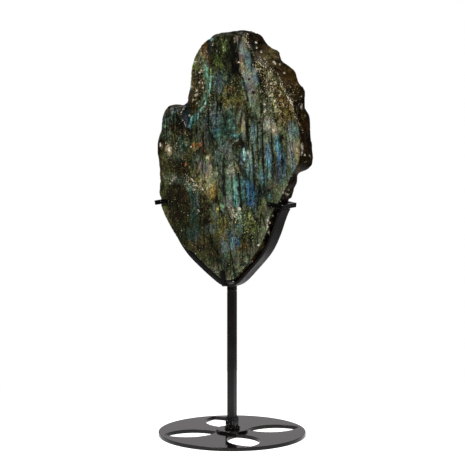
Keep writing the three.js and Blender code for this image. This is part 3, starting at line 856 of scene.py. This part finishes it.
# Ridges with painted highlights along them, and one painted reflection low down by the strap,
# given like the cracks.
LIT_LEDGES = [
    ([(23, 493), (28, 487), (29, 483)], 1.5, 0.9),
    ([(30, 481), (36, 475), (40, 470)], 1.2, 0.6),
    ([(38, 467), (43, 464), (47, 460)], 1.8, 0.6),
    ([(40, 458), (42, 453)], 1.6, 0.9),
    ([(52, 452), (58, 446), (64, 438)], 1.2, 0.6),
    ([(75, 438), (79, 432), (83, 426)], 2, 1),
    ([(84, 424), (88, 419), (90, 414)], 3, 1),
    ([(94, 402), (97, 397), (99, 392)], 2, 0.9),
    ([(99, 392), (103, 386), (105, 380)], 1.6, 0.9),
    ([(104, 367), (104, 355)], 2.2, 1),
    ([(-60, 408), (-66, 400), (-64, 394), (-61, 388), (-58, 385)], 1.2, 0.85),
    ([(-83, 311), (-75, 320), (-65, 318)], 1.5, 0.7),
    ([(58, 276), (57, 265), (60, 256)], 1.7, 1),
    ([(29, 215), (37, 221)], 1.2, 0.8),
    ([(70, 452), (72, 446), (76, 441)], 1.4, 0.8),
    ([(91, 412), (93, 406), (94, 400)], 2, 0.9),
    ([(79, 308), (84, 305), (88, 304)], 1.6, 0.9),
]
FRONT_START = 1.7
FRONT_FADE = 14 * MM

in_front = np.clip(FRONT_START - (points[:, 1] - FACE_Y) / FRONT_FADE, 0, 1)
sparkle = cover_zones(SPARKLES) * in_front
# Where painted highlights run along the ridges.
lit_ledge = line_closeness(LIT_LEDGES) * in_front
print("flecks gather on", round(100 * float((sparkle > 0.3).mean())), "% of the stone")

# %% Tint the margin of the face
MARGIN_MM = 11
MARGIN_TOP = 345
MARGIN_STRENGTH = 0.85


def tint_margin(colours):
    """Along the lower right edge the layers end, and the stone stays olive green."""
    right_low = np.clip((x_mm - 0.45 * (z_mm - MARGIN_TOP) - 25) / 25, 0, 1)
    right_low = right_low * np.clip((MARGIN_TOP - z_mm) / 20, 0, 1)
    share = np.clip(1.3 - from_edge / MM / MARGIN_MM + 0.8 * ragged[1], 0, 1)
    share = share * right_low * MARGIN_STRENGTH
    colours += (np.array(PIGMENTS["sage"]) * 0.8 - colours) * share[:, None]
    return share


margin = tint_margin(paint)
print("the margin takes up", round(100 * float((margin[on_face] > 0.3).mean())), "% of the face")

# %% [markdown]
# ## Colours of the broken rim
#
# Where the stone is broken, its layers no longer line up with the light, so it shows brown and
# olive with hardly any blue. On the upper left the break is wide and still has green flecks, and
# tan flecks and pale chips painted as glints. Its inner edge catches the light as a thin sea-green
# line.

# %% Zones of the rim
RIM_ZONES = [
    ("bark", -38, 442, 22, 50, 0.95, 8),
    ("olive", -38, 466, 9, 10, 0.8, 20),
    ("sage", -36, 468, 6, 6, 0.5, 20),
    ("moss", -45, 455, 4, 9, 0.7),
    ("honey", -49, 441, 3.5, 9, 0.7, 4),
    ("earth", -31, 480, 6, 8, 0.5, 20),
    ("earth", -27, 467, 3, 6, 0.6, 10),
    ("ink", -23, 481, 3.4, 10, 0.9, 6),
    ("slate", -17, 490, 4, 5, 0.8),
    ("coffee", -43, 447, 6, 4, 0.7),
    ("bark", -40, 427, 8, 12, 0.8),
    ("soot", -50, 412, 8, 8, 0.6),
    ("jade", -29, 450, 4, 12, 0.6, 2),
    ("umber", -36, 440, 4, 6, 0.6),
    ("bark", 20, 497, 12, 4, 0.8),
    ("coffee", 40, 493, 20, 11, 0.9, -20),
    ("ink", 36, 480, 5, 7, 0.6),
    ("taupe", 60, 472, 10, 13, 0.85, -30),
    ("chestnut", 85, 447, 14, 13, 0.9, -35),
    ("coffee", 99, 412, 8, 18, 0.9, -14),
    ("earth", 107, 388, 4, 7, 0.35),
    ("coffee", 109, 369, 7, 11, 0.8),
    ("umber", 108, 360, 4, 10, 0.4),
    ("soot", 109, 348, 10, 10, 0.8),
    ("taupe", 99, 335, 8, 3.5, 0.75, -30),
    ("coffee", 94, 322, 5, 6, 0.7),
    ("bark", 88, 308, 6, 6, 0.7),
    ("petrol", -94, 390, 8, 20, 0.6),
    ("bark", -98, 352, 8, 24, 0.9),
    ("ink", -59, 397, 10, 15, 0.95, 10),
    ("indigo", -56, 388, 3, 8, 0.6, 20),
    ("black", -60, 407, 9, 4, 0.9),
    # This row darkens the top of the rim along the crown: painted shade, where the top edge gets
    # no light.
    ("pine", -10, 499, 26, 5, 0.95),
    ("black", 76, 294, 9, 5, 0.95),
    ("olive", -97, 306, 4, 14, 0.5),
    ("indigo", -72, 270, 10, 12, 0.4),
    ("bark", -88, 273, 9, 10, 0.8, 40),
    ("black", 58, 264, 9, 22, 0.8, -16),
    ("taupe", 51, 240, 5, 5, 0.7),
    ("soot", 68, 282, 9, 8, 0.8),
]

# %% Bands of colour along the edge between the face and the rim
# Each band: its corners as x and z, its half width and its strength.
SHELLS = {
    "jade": [
        ([(-27, 456), (-27, 442), (-28, 430), (-32, 419), (-38, 410)], 2.4, 0.4),
    ],
    "leaf": [
        ([(-47, 470), (-50, 455), (-52, 440)], 1.5, 0.8),
        ([(-22, 456), (-22, 441)], 0.9, 0.5),
    ],
    "cyan": [
        ([(-22, 446), (-23, 437), (-24, 430), (-27, 421), (-31, 411), (-37, 405)], 1, 0.9),
        ([(-39, 403), (-41, 395)], 1, 0.7),
        ([(-52, 438), (-52, 430)], 1.4, 0.7),
        ([(-49, 396), (-54, 384)], 1.3, 0.7),
        ([(-23, 492), (-20, 490)], 1.6, 0.7),
    ],
    "sage": [
        ([(-63, 235), (-55, 229), (-42, 221), (-38, 219)], 1.3, 0.8),
        ([(48, 255), (54, 260), (56, 272), (62, 282)], 2.2, 0.5),
    ],
    "olive": [
        ([(-95, 283), (-88, 272), (-80, 261)], 2, 0.8),
    ],
}
print(len(RIM_ZONES), "zones on the rim and", sum(map(len, SHELLS.values())), "bands")

# %% Paint the rim
CHIP_STAIN = 0.25
BACK_START = 8 * MM
BACK_FADE = 4 * MM


def paint_rim(colours):
    """Lays the rim's own colours and the bands that cross its edge, stains in the chips' pigments,
    and returns where their painted glints go.
    """
    rim = ~on_face
    base = plain_coat("soot")
    mottle = np.clip(0.5 + 1.2 * streaks(x_mm, z_mm, 9, 11, 21.0), 0, 1)
    mix_in(base, "chestnut", mottle)
    lay_zones(base, RIM_ZONES)
    back = np.clip((points[:, 1] - BACK_START) / BACK_FADE, 0, 1)
    mix_in(base, "rock", back * (0.75 + 0.25 * mottle))
    colours[rim] = base[rim]
    for pigment, bands in SHELLS.items():
        mix_in(colours, pigment, line_closeness(bands) * in_front * np.clip(0.9 + ragged[0], 0, 1))
    chipped = colours.copy()
    # The chips' share marks where the shader lays painted glints, near-white highlights, over the
    # colour.
    chip_glint = lay_zones(chipped, GLINT_CHIPS, MARK_SOFTNESS, MARK_WOBBLE) * in_front
    colours += CHIP_STAIN * (chipped - colours) * in_front[:, None]
    return chip_glint


chip_glint = paint_rim(paint)
print("chips cover", round(100 * float((chip_glint > 0.5).mean()), 1), "% of the stone")

# %% Let the layers fan out below the crown
FAN_TOP = 560
FAN_LENGTH = 160
FAN_SWAY_MM = 1.5
FAN_SWAY_SIZE = (22, 34, 17.0)


def layer_coordinates():
    """Millimetres across the layers, through the stone and along them."""
    converge = FAN_LENGTH / np.clip(FAN_TOP - z_mm, 1, FAN_LENGTH)
    across = np.where(x_mm > 0, x_mm * converge, x_mm)
    across += FAN_SWAY_MM * streaks(x_mm, z_mm, *FAN_SWAY_SIZE)
    return np.stack([across, points[:, 1] / MM, z_mm], axis=1)


# %% Store the colours on the mesh
def store_colour(mesh, name, colours):
    attribute = mesh.color_attributes.new(name, "FLOAT_COLOR", "POINT")
    values = np.clip(colours, 0, 1)
    values[:, 3] = 1
    attribute.data.foreach_set("color", values.ravel())


full = np.ones(len(points))
layers = stone.data.attributes.new("layers", "FLOAT_VECTOR", "POINT")
layers.data.foreach_set("vector", layer_coordinates().ravel())
store_colour(stone.data, "ground", paint)
store_colour(stone.data, "glow", glow)
shown *= on_face * (1 - chip_glint)
store_colour(stone.data, "depths", np.stack([shown, calm, calm, full], axis=1))
# Painted glints: where bright flecks gather, painted highlights along the ridges, and the glints
# on the chips.
store_colour(stone.data, "painted_glints", np.stack([sparkle, lit_ledge, chip_glint, full], axis=1))
print("the stone carries", [layer.name for layer in stone.data.color_attributes])

# %% [markdown]
# ## The polished face
#
# The zones give the broad colours. The shader adds what is finer than the mesh: hair-thin
# vertical streaks, darker cleavage cracks that lean a few degrees, a cloudy mottle, and tiny
# bright flecks and chips that are painted glints. A clear coat stands for the polish.


# %% Noise and shading for the stone
HUE_CONTRAST = 1.2
BODY_GAMMA = 1.15


def shade(tree, colour, *coats):
    """Multiplies a colour by each coat's noise, which runs from dark to bright."""
    for noise_value, dark, bright in coats:
        factor = levels(tree, noise_value, 0.3, 0.7, dark, bright)
        colour = blend(tree, 1.0, colour, factor, "MULTIPLY")
    return colour


def deepen(tree, colour):
    """Darkens the body of the stone, the darks most, so that its painted glints stand out."""
    return node(tree, "Gamma", Color=colour, Gamma=BODY_GAMMA).outputs["Color"]


def many_hues(tree, colour, size, strength):
    """Gives every grain of the stone a hue slightly its own."""
    hues = soft_noise(tree, stretched(tree, size), 3.0).outputs["Color"]
    vivid = node(tree, "BrightContrast", Color=hues, Contrast=HUE_CONTRAST)
    return blend(tree, strength, colour, vivid.outputs["Color"], "OVERLAY")


def layered(tree, size, detail=4.0, rough=0.6, lean=0):
    """Noise that follows the layers of the stone, its size in millimetres, from 0 to 1."""
    place = node(tree, "Attribute", {"attribute_name": "layers"}).outputs["Vector"]
    return soft_noise(tree, measured(tree, place, size, lean), detail, rough).outputs["Fac"]


def stored_colour(tree, layer):
    return node(tree, "VertexColor", {"layer_name": layer}).outputs["Color"]


def stored_parts(tree, layer):
    """Three measures from 0 to 1 that are kept as the red, green and blue of a layer."""
    parts = node(tree, "SeparateColor", Color=stored_colour(tree, layer))
    return [parts.outputs[name] for name in ("Red", "Green", "Blue")]


# %% Painted glints: bright flecks, lit ridges and chips
FLECK_PUSH = 0.16
RIDGE_GLINT_PUSH = 0.2
GLINT = 0.78


def add_painted_glints(tree, colour, ground):
    """Paints glints into the colour: gold and cream flecks here and there, highlights along the
    lit ridges, and a near-white glint on each chip.
    """
    sparkle, lit_ledge, chip_glint = stored_parts(tree, "painted_glints")
    seeds = grain(tree, (1.5, 2.0, 1.7), detail=2, rough=0.6)
    fleck = levels(tree, combine(tree, "ADD", seeds, times(tree, sparkle, FLECK_PUSH)), 0.7, 0.715)
    tint = levels(tree, grain(tree, (5, 5, 5), detail=2), 0.4, 0.6)
    pale = blend(tree, tint, PIGMENTS["gold"], PIGMENTS["cream"])
    colour = blend(tree, times(tree, fleck, 0.75), colour, pale)
    torn = levels(tree, grain(tree, (1.3, 2.0, 2.4), detail=3, lean=0.5), 0.44, 0.58, 0.1, 1.5)
    run = grain(tree, (1.4, 2.0, 2.2), detail=3, rough=0.7)
    ridge_glint = levels(tree, combine(tree, "ADD", run, times(tree, lit_ledge, RIDGE_GLINT_PUSH)), 0.7, 0.73)
    ridge_glint = times(tree, ridge_glint, levels(tree, times(tree, lit_ledge, torn), 0.1, 0.4))
    # bright is the near-white of the painted glints.
    bright = blend(tree, GLINT, ground, PIGMENTS["blush"])
    colour = blend(tree, ridge_glint, colour, bright)
    glint = levels(tree, times(tree, chip_glint, torn), 0.7, 0.8)
    return blend(tree, glint, colour, bright)


# %% Material of the polished face
FACE_ROUGHNESS = 0.2
CALM_SHARE = 0.85
HAIR_LEAN = math.radians(2)
BAND_LEAN = math.radians(3)
CRACK_LEAN = math.radians(5)


def cleavage(tree):
    """Thin dark lines between tall, narrow cells, each broken into lengths."""
    cells = node(tree, "TexVoronoi", {"feature": "DISTANCE_TO_EDGE"},
                 Vector=stretched(tree, (8, 30, 80), CRACK_LEAN), Scale=1.0)
    crack = levels(tree, cells.outputs["Distance"], 0.0, 0.09, 0.9, 0.0)
    return times(tree, crack, levels(tree, grain(tree, (9, 9, 30), detail=2), 0.42, 0.58))


def polished_face():
    material, tree, skin = new_material("polished_labradorite")
    ground = stored_colour(tree, "ground")
    shown, calm = stored_parts(tree, "depths")[:2]
    hair = layered(tree, (1.4, 8, 7), lean=HAIR_LEAN)
    bands = layered(tree, (5.5, 20, 60), rough=0.65, lean=BAND_LEAN)
    clouds = grain(tree, (9, 12, 13), detail=5, rough=0.6)
    mottle = grain(tree, (3.4, 6, 4.2), detail=5, rough=0.75)
    speck = grain(tree, (1.3, 3, 1.6), detail=3, rough=0.75)
    rock = shade(tree, ground, (clouds, 0.35, 1.45), (mottle, 0.05, 1.95), (speck, 0.1, 2.1),
                 (hair, 0.65, 1.3))
    smoke = shade(tree, ground, (clouds, 0.75, 1.2), (hair, 0.75, 1.2), (speck, 0.45, 1.6))
    rock = blend(tree, times(tree, calm, CALM_SHARE), rock, smoke)
    rock = many_hues(tree, rock, (5, 6, 8), 0.2)
    flash = shade(tree, stored_colour(tree, "glow"), (hair, 0.6, 1.35), (bands, 0.7, 1.25),
                  (mottle, 0.7, 1.35), (speck, 0.25, 1.95))
    flash = many_hues(tree, flash, (3, 6, 14), 0.24)
    weave = combine(tree, "ADD", times(tree, hair, 0.3), times(tree, bands, 0.5))
    weave = combine(tree, "ADD", weave, times(tree, mottle, 0.2))
    reveal = times(tree, shown, levels(tree, weave, 0.4, 0.57, 0.3, 1.0))
    colour = blend(tree, reveal, rock, flash)
    colour = blend(tree, cleavage(tree), colour, PIGMENTS["black"])
    colour = add_painted_glints(tree, deepen(tree, colour), ground)
    set_inputs(tree, skin, Base_Color=colour, Normal=bumped(tree, mottle, 0.05, 0.4),
               Roughness=FACE_ROUGHNESS, Coat_Weight=0.3, Coat_Roughness=0.05)
    return material


# %% [markdown]
# ## The broken, varnished rim
#
# The rim is dark and wet-looking, with small sharp glints. Its facets are finer than the mesh, so
# bump stands in for them. Their glints are painted as torn pale chips, because that keeps them in
# place and small. A mirror-like rim would show broad pale streaks instead.


# %% Material of the rim
def broken_rim():
    material, tree, skin = new_material("broken_labradorite")
    ground = stored_colour(tree, "ground")
    calm = stored_parts(tree, "depths")[1]
    lumps = grain(tree, (6, 6, 8), detail=5, rough=0.65)
    grit = grain(tree, (1.6, 1.6, 2.0), detail=3, rough=0.7)
    rough = shade(tree, ground, (lumps, 0.15, 1.7), (grit, 0.2, 1.8))
    smooth = shade(tree, ground, (lumps, 0.4, 1.6))
    colour = blend(tree, times(tree, calm, CALM_SHARE), rough, smooth)
    colour = many_hues(tree, colour, (5, 5, 6), 0.15)
    colour = add_painted_glints(tree, deepen(tree, colour), ground)
    facets = node(tree, "TexVoronoi", {"feature": "SMOOTH_F1"},
                  Vector=stretched(tree, (4.2, 4.2, 6)), Scale=1.0).outputs["Distance"]
    coarse = bumped(tree, facets, 0.6, 1.2)
    set_inputs(tree, skin, Base_Color=colour, Normal=bumped(tree, grit, 0.4, 0.3, Normal=coarse),
               Roughness=levels(tree, lumps, 0.3, 0.7, 0.25, 0.5), Specular_IOR_Level=0.1)
    return material


# %% Put both materials on the stone
def split_materials(mesh, on_face):
    """Polishes polygons whose corners all lie on the sawn face, and keeps its border crisp."""
    starts = np.zeros(len(mesh.polygons), dtype=int)
    mesh.polygons.foreach_get("loop_start", starts)
    corners = np.zeros(len(mesh.loops), dtype=int)
    mesh.loops.foreach_get("vertex_index", corners)
    polished = np.minimum.reduceat(on_face[corners].astype(int), starts)
    mesh.polygons.foreach_set("material_index", 1 - polished)
    edges = np.zeros(len(mesh.loops), dtype=int)
    mesh.loops.foreach_get("edge_index", edges)
    sizes = np.diff(np.append(starts, len(mesh.loops)))
    polished_sides = np.bincount(edges, weights=np.repeat(polished, sizes))
    mesh.edges.foreach_set("use_edge_sharp", polished_sides == 1)


stone.data.materials.clear()
stone.data.materials.append(polished_face())
stone.data.materials.append(broken_rim())
split_materials(stone.data, on_face)
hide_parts("labradorite")
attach(stone, BODY)
print("the stone has", sum(len(p.vertices) - 2 for p in stone.data.polygons), "triangles")

# %% [markdown]
# ## The black stand
#
# The stand is steel bar under glossy black enamel. Real bar has rounded edges that carry thin
# highlights, so each piece is a copy of its frame solid with its sharp edges bevelled and the
# rest shaded smooth. The enamel has a slight orange peel, and the flat strap is a little duller.


# %% Enamel
def rippled(tree, strength):
    """The orange peel of sprayed paint."""
    return bumped(tree, grain(tree, (1.8, 1.8, 1.8), detail=2), strength, 0.15)


def enamel(name, roughness, peel):
    material, tree, skin = new_material(name)
    cloud = grain(tree, (30, 30, 30), detail=3)
    colour = blend(tree, cloud, srgb(15, 14, 13), srgb(24, 22, 20))
    dullness = levels(tree, cloud, 0.3, 0.7, roughness * 0.7, roughness * 1.4)
    set_inputs(tree, skin, Base_Color=colour, Normal=rippled(tree, peel), Roughness=dullness,
               IOR=1.32)
    return material


bar_enamel = enamel("bar_enamel", roughness=0.22, peel=0.08)
strap_enamel = enamel("strap_enamel", roughness=0.42, peel=0.08)
foot_enamel = enamel("foot_enamel", roughness=0.07, peel=0.02)

# %% Bars, strap, hub and foot
SHARP_ANGLE = math.radians(32)
WELD_DISTANCE = 0.01 * MM
BEVEL_SEGMENTS = 2
# Each piece: how far its edges are rounded in millimetres, and its finish.
ENAMELLED = {
    "base_disc": (0.25, foot_enamel),
    "hub_plate": (0.2, foot_enamel),
    "post": (0.15, bar_enamel),
    "cradle_neck": (0.15, bar_enamel),
    "cradle_strap": (0.2, strap_enamel),
    "clip_front": (0.25, bar_enamel),
    "clip_back": (0.25, bar_enamel),
}


def finish_piece(piece, node_name, finish):
    """Gives a piece of the stand its paint and puts it in the place of its frame solid."""
    piece.data.materials.clear()
    piece.data.materials.append(finish)
    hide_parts(node_name)
    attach(piece, BODY)


def dressed_copy(node_name, rounding, finish):
    """The frame solid with merged corners, smooth shading and softened edges."""
    piece = add_object(node_name + "_enamelled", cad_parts[node_name].data.copy())
    weld = piece.modifiers.new("weld", "WELD")
    weld.merge_threshold = WELD_DISTANCE
    bevel = piece.modifiers.new("edge", "BEVEL")
    bevel.width = rounding * MM
    bevel.segments = BEVEL_SEGMENTS
    bevel.angle_limit = SHARP_ANGLE
    flatten = piece.modifiers.new("flat", "WEIGHTED_NORMAL")
    flatten.keep_sharp = True
    shade_smooth(piece.data)
    piece.data = mesh_with_modifiers(piece)
    piece.modifiers.clear()
    finish_piece(piece, node_name, finish)


for node_name, (rounding, finish) in ENAMELLED.items():
    dressed_copy(node_name, rounding, finish)
print("the stand has", len(ENAMELLED), "enamelled pieces")

# %% [markdown]
# ## The welded pieces
#
# The post stands in a short square tube, and lumps of weld run round its foot. The side clips
# are welded to the strap by hand as well. Thick, uneven paint covers both. The frame's lumps are
# plain balls. A fine remesh melts them together, and noise makes the paint lumpy.

# %% Socket and side clips
LUMPY_VOXEL = 0.42 * MM
LUMP_SIZE = 2.4 * MM
LUMP_FADE = 1.0
LUMPY_PIECES = {"post_socket": 0.4 * MM, "clip_left": 0.25 * MM, "clip_right": 0.25 * MM}


def lumpy_enamel():
    """Thick black paint, with pale specks painted into its colour as glints on its lumps."""
    material, tree, skin = new_material("lumpy_enamel")
    glint_specks = levels(tree, grain(tree, (1.7, 1.7, 1.7), detail=2), 0.68, 0.74)
    colour = blend(tree, glint_specks, srgb(8, 8, 7), srgb(170, 166, 160))
    set_inputs(tree, skin, Base_Color=colour, Normal=rippled(tree, 0.5), Roughness=0.16, IOR=1.3)
    return material


def lumpy_piece(node_name, depth, finish):
    piece = remeshed(node_name, node_name + "_painted", LUMPY_VOXEL)
    places, outward = read_points(piece.data)
    for index in range(len(places)):
        spot = Vector(places[index]) / LUMP_SIZE
        lump = 0.5 + 0.5 * noise.fractal(spot, LUMP_FADE, OCTAVE_STEP, OCTAVES)
        places[index] -= outward[index] * depth * min(1, max(0, lump))
    write_points(piece.data, places)
    shade_smooth(piece.data)
    finish_piece(piece, node_name, finish)
    print(node_name, "has", len(piece.data.vertices), "points")


thick_paint = lumpy_enamel()
for node_name, depth in LUMPY_PIECES.items():
    lumpy_piece(node_name, depth, thick_paint)

# %% [markdown]
# ## Floor and light
#
# The picture has a plain white ground and soft light. The pale floor glows a little, and more so
# where the camera sees it, so that its shadow stays faint. A large lamp above and in front lights
# the stone, and three small ones add glints. The sky is bright behind the object, so that the
# enamel has something to reflect, while the side that the face looks at stays dark.

# %% Floor
FLOOR_RADIUS = 0.42
FLOOR_CORNERS = 96
FLOOR_GLOW = 0.4
FLOOR_SEEN_GLOW = 0.85


def pale_floor():
    material, tree, skin = new_material("floor")
    speck = grain(tree, (40, 40, 40), detail=2)
    seen = node(tree, "LightPath").outputs["Is Camera Ray"]
    glow = levels(tree, seen, 0.0, 1.0, FLOOR_GLOW, FLOOR_SEEN_GLOW)
    colour = blend(tree, speck, srgb(240, 240, 239), srgb(246, 246, 246))
    set_inputs(tree, skin, Base_Color=colour, Emission_Color=(1, 1, 1, 1), Emission_Strength=glow,
               Roughness=0.8, Specular_IOR_Level=0.1)
    turns = [2 * math.pi * step / FLOOR_CORNERS for step in range(FLOOR_CORNERS)]
    corners = [(FLOOR_RADIUS * math.cos(a), FLOOR_RADIUS * math.sin(a), 0) for a in turns]
    mesh = bpy.data.meshes.new("floor")
    mesh.from_pydata(corners, [], [tuple(range(FLOOR_CORNERS))])
    mesh.materials.append(material)
    add_object("floor", mesh)


pale_floor()
print("the floor is", 2 * FLOOR_RADIUS, "m across")

# %% Sky
BACK_LIGHT = 0.58
BACK_TOP = 0.42
BACK_FADE_UP = 0.16
GROUND_LIGHT = 0.2
ROOM_LIGHT = 0.03
ROOM_COLOUR = (1, 0.94, 0.985, 1)
HORIZON = 0.03


def studio_sky():
    """White where the camera looks, bright behind the object and dim in front and below."""
    world = bpy.data.worlds.new("studio")
    world.use_nodes = True
    tree = world.node_tree
    tree.nodes.clear()
    facing = node(tree, "TexCoord").outputs["Generated"]
    away = node(tree, "VectorMath", {"operation": "DOT_PRODUCT"}, Vector=facing)
    away.inputs[1].default_value = (-math.sin(VIEW_AZIMUTH), math.cos(VIEW_AZIMUTH), 0)
    height = node(tree, "SeparateXYZ", Vector=facing).outputs["Z"]
    behind = levels(tree, away.outputs["Value"], 0.0, 0.6)
    low = levels(tree, height, BACK_TOP - BACK_FADE_UP, BACK_TOP, 1.0, 0.0)
    above = levels(tree, height, 0.05, 0.12)
    panel = times(tree, times(tree, behind, low), above)
    panel = levels(tree, panel, 0.0, 1.0, ROOM_LIGHT, BACK_LIGHT)
    beneath = times(tree, levels(tree, height, -HORIZON, HORIZON, GROUND_LIGHT, 0.0), behind)
    glow = combine(tree, "MAXIMUM", panel, beneath)
    room = node(tree, "Background", Color=ROOM_COLOUR, Strength=glow)
    seen = node(tree, "Background", Color=(1, 1, 1, 1), Strength=1.0)
    mixed = node(tree, "MixShader", Fac=node(tree, "LightPath").outputs["Is Camera Ray"])
    fill(tree, mixed.inputs[1], room.outputs["Background"])
    fill(tree, mixed.inputs[2], seen.outputs["Background"])
    node(tree, "OutputWorld", Surface=mixed.outputs["Shader"])
    scene.world = world


studio_sky()

# %% Lamps
# Each lamp: where it stands, where it points, its side in metres and its power in watts.
LAMPS = {
    "key": ((0, -1.8, 1.7), (0, 0, 0.33), 0.7, 44),
    "top": ((-0.8, 0.2, 1.8), (0, 0, 0), 0.4, 8),
    "glint": ((1.5, -1.2, 1.3), (0.05, 0, 0.36), 0.12, 9),
    "sparkle": ((0.5, -2.2, 0.9), (0, 0, 0.2), 0.1, 6),
}


def soft_lamp(name, place, target, side, watts):
    data = bpy.data.lights.new(name, "AREA")
    data.size = side
    data.energy = watts
    lamp = add_object(name, data)
    lamp.location = place
    lamp.rotation_euler = (Vector(target) - Vector(place)).to_track_quat("-Z", "Y").to_euler()


for name, (place, target, side, watts) in LAMPS.items():
    soft_lamp(name, place, target, side, watts)
scene.view_settings.view_transform = "Standard"
scene.view_settings.look = "None"
print("the lamps give", sum(watts for place, target, side, watts in LAMPS.values()), "W in all")
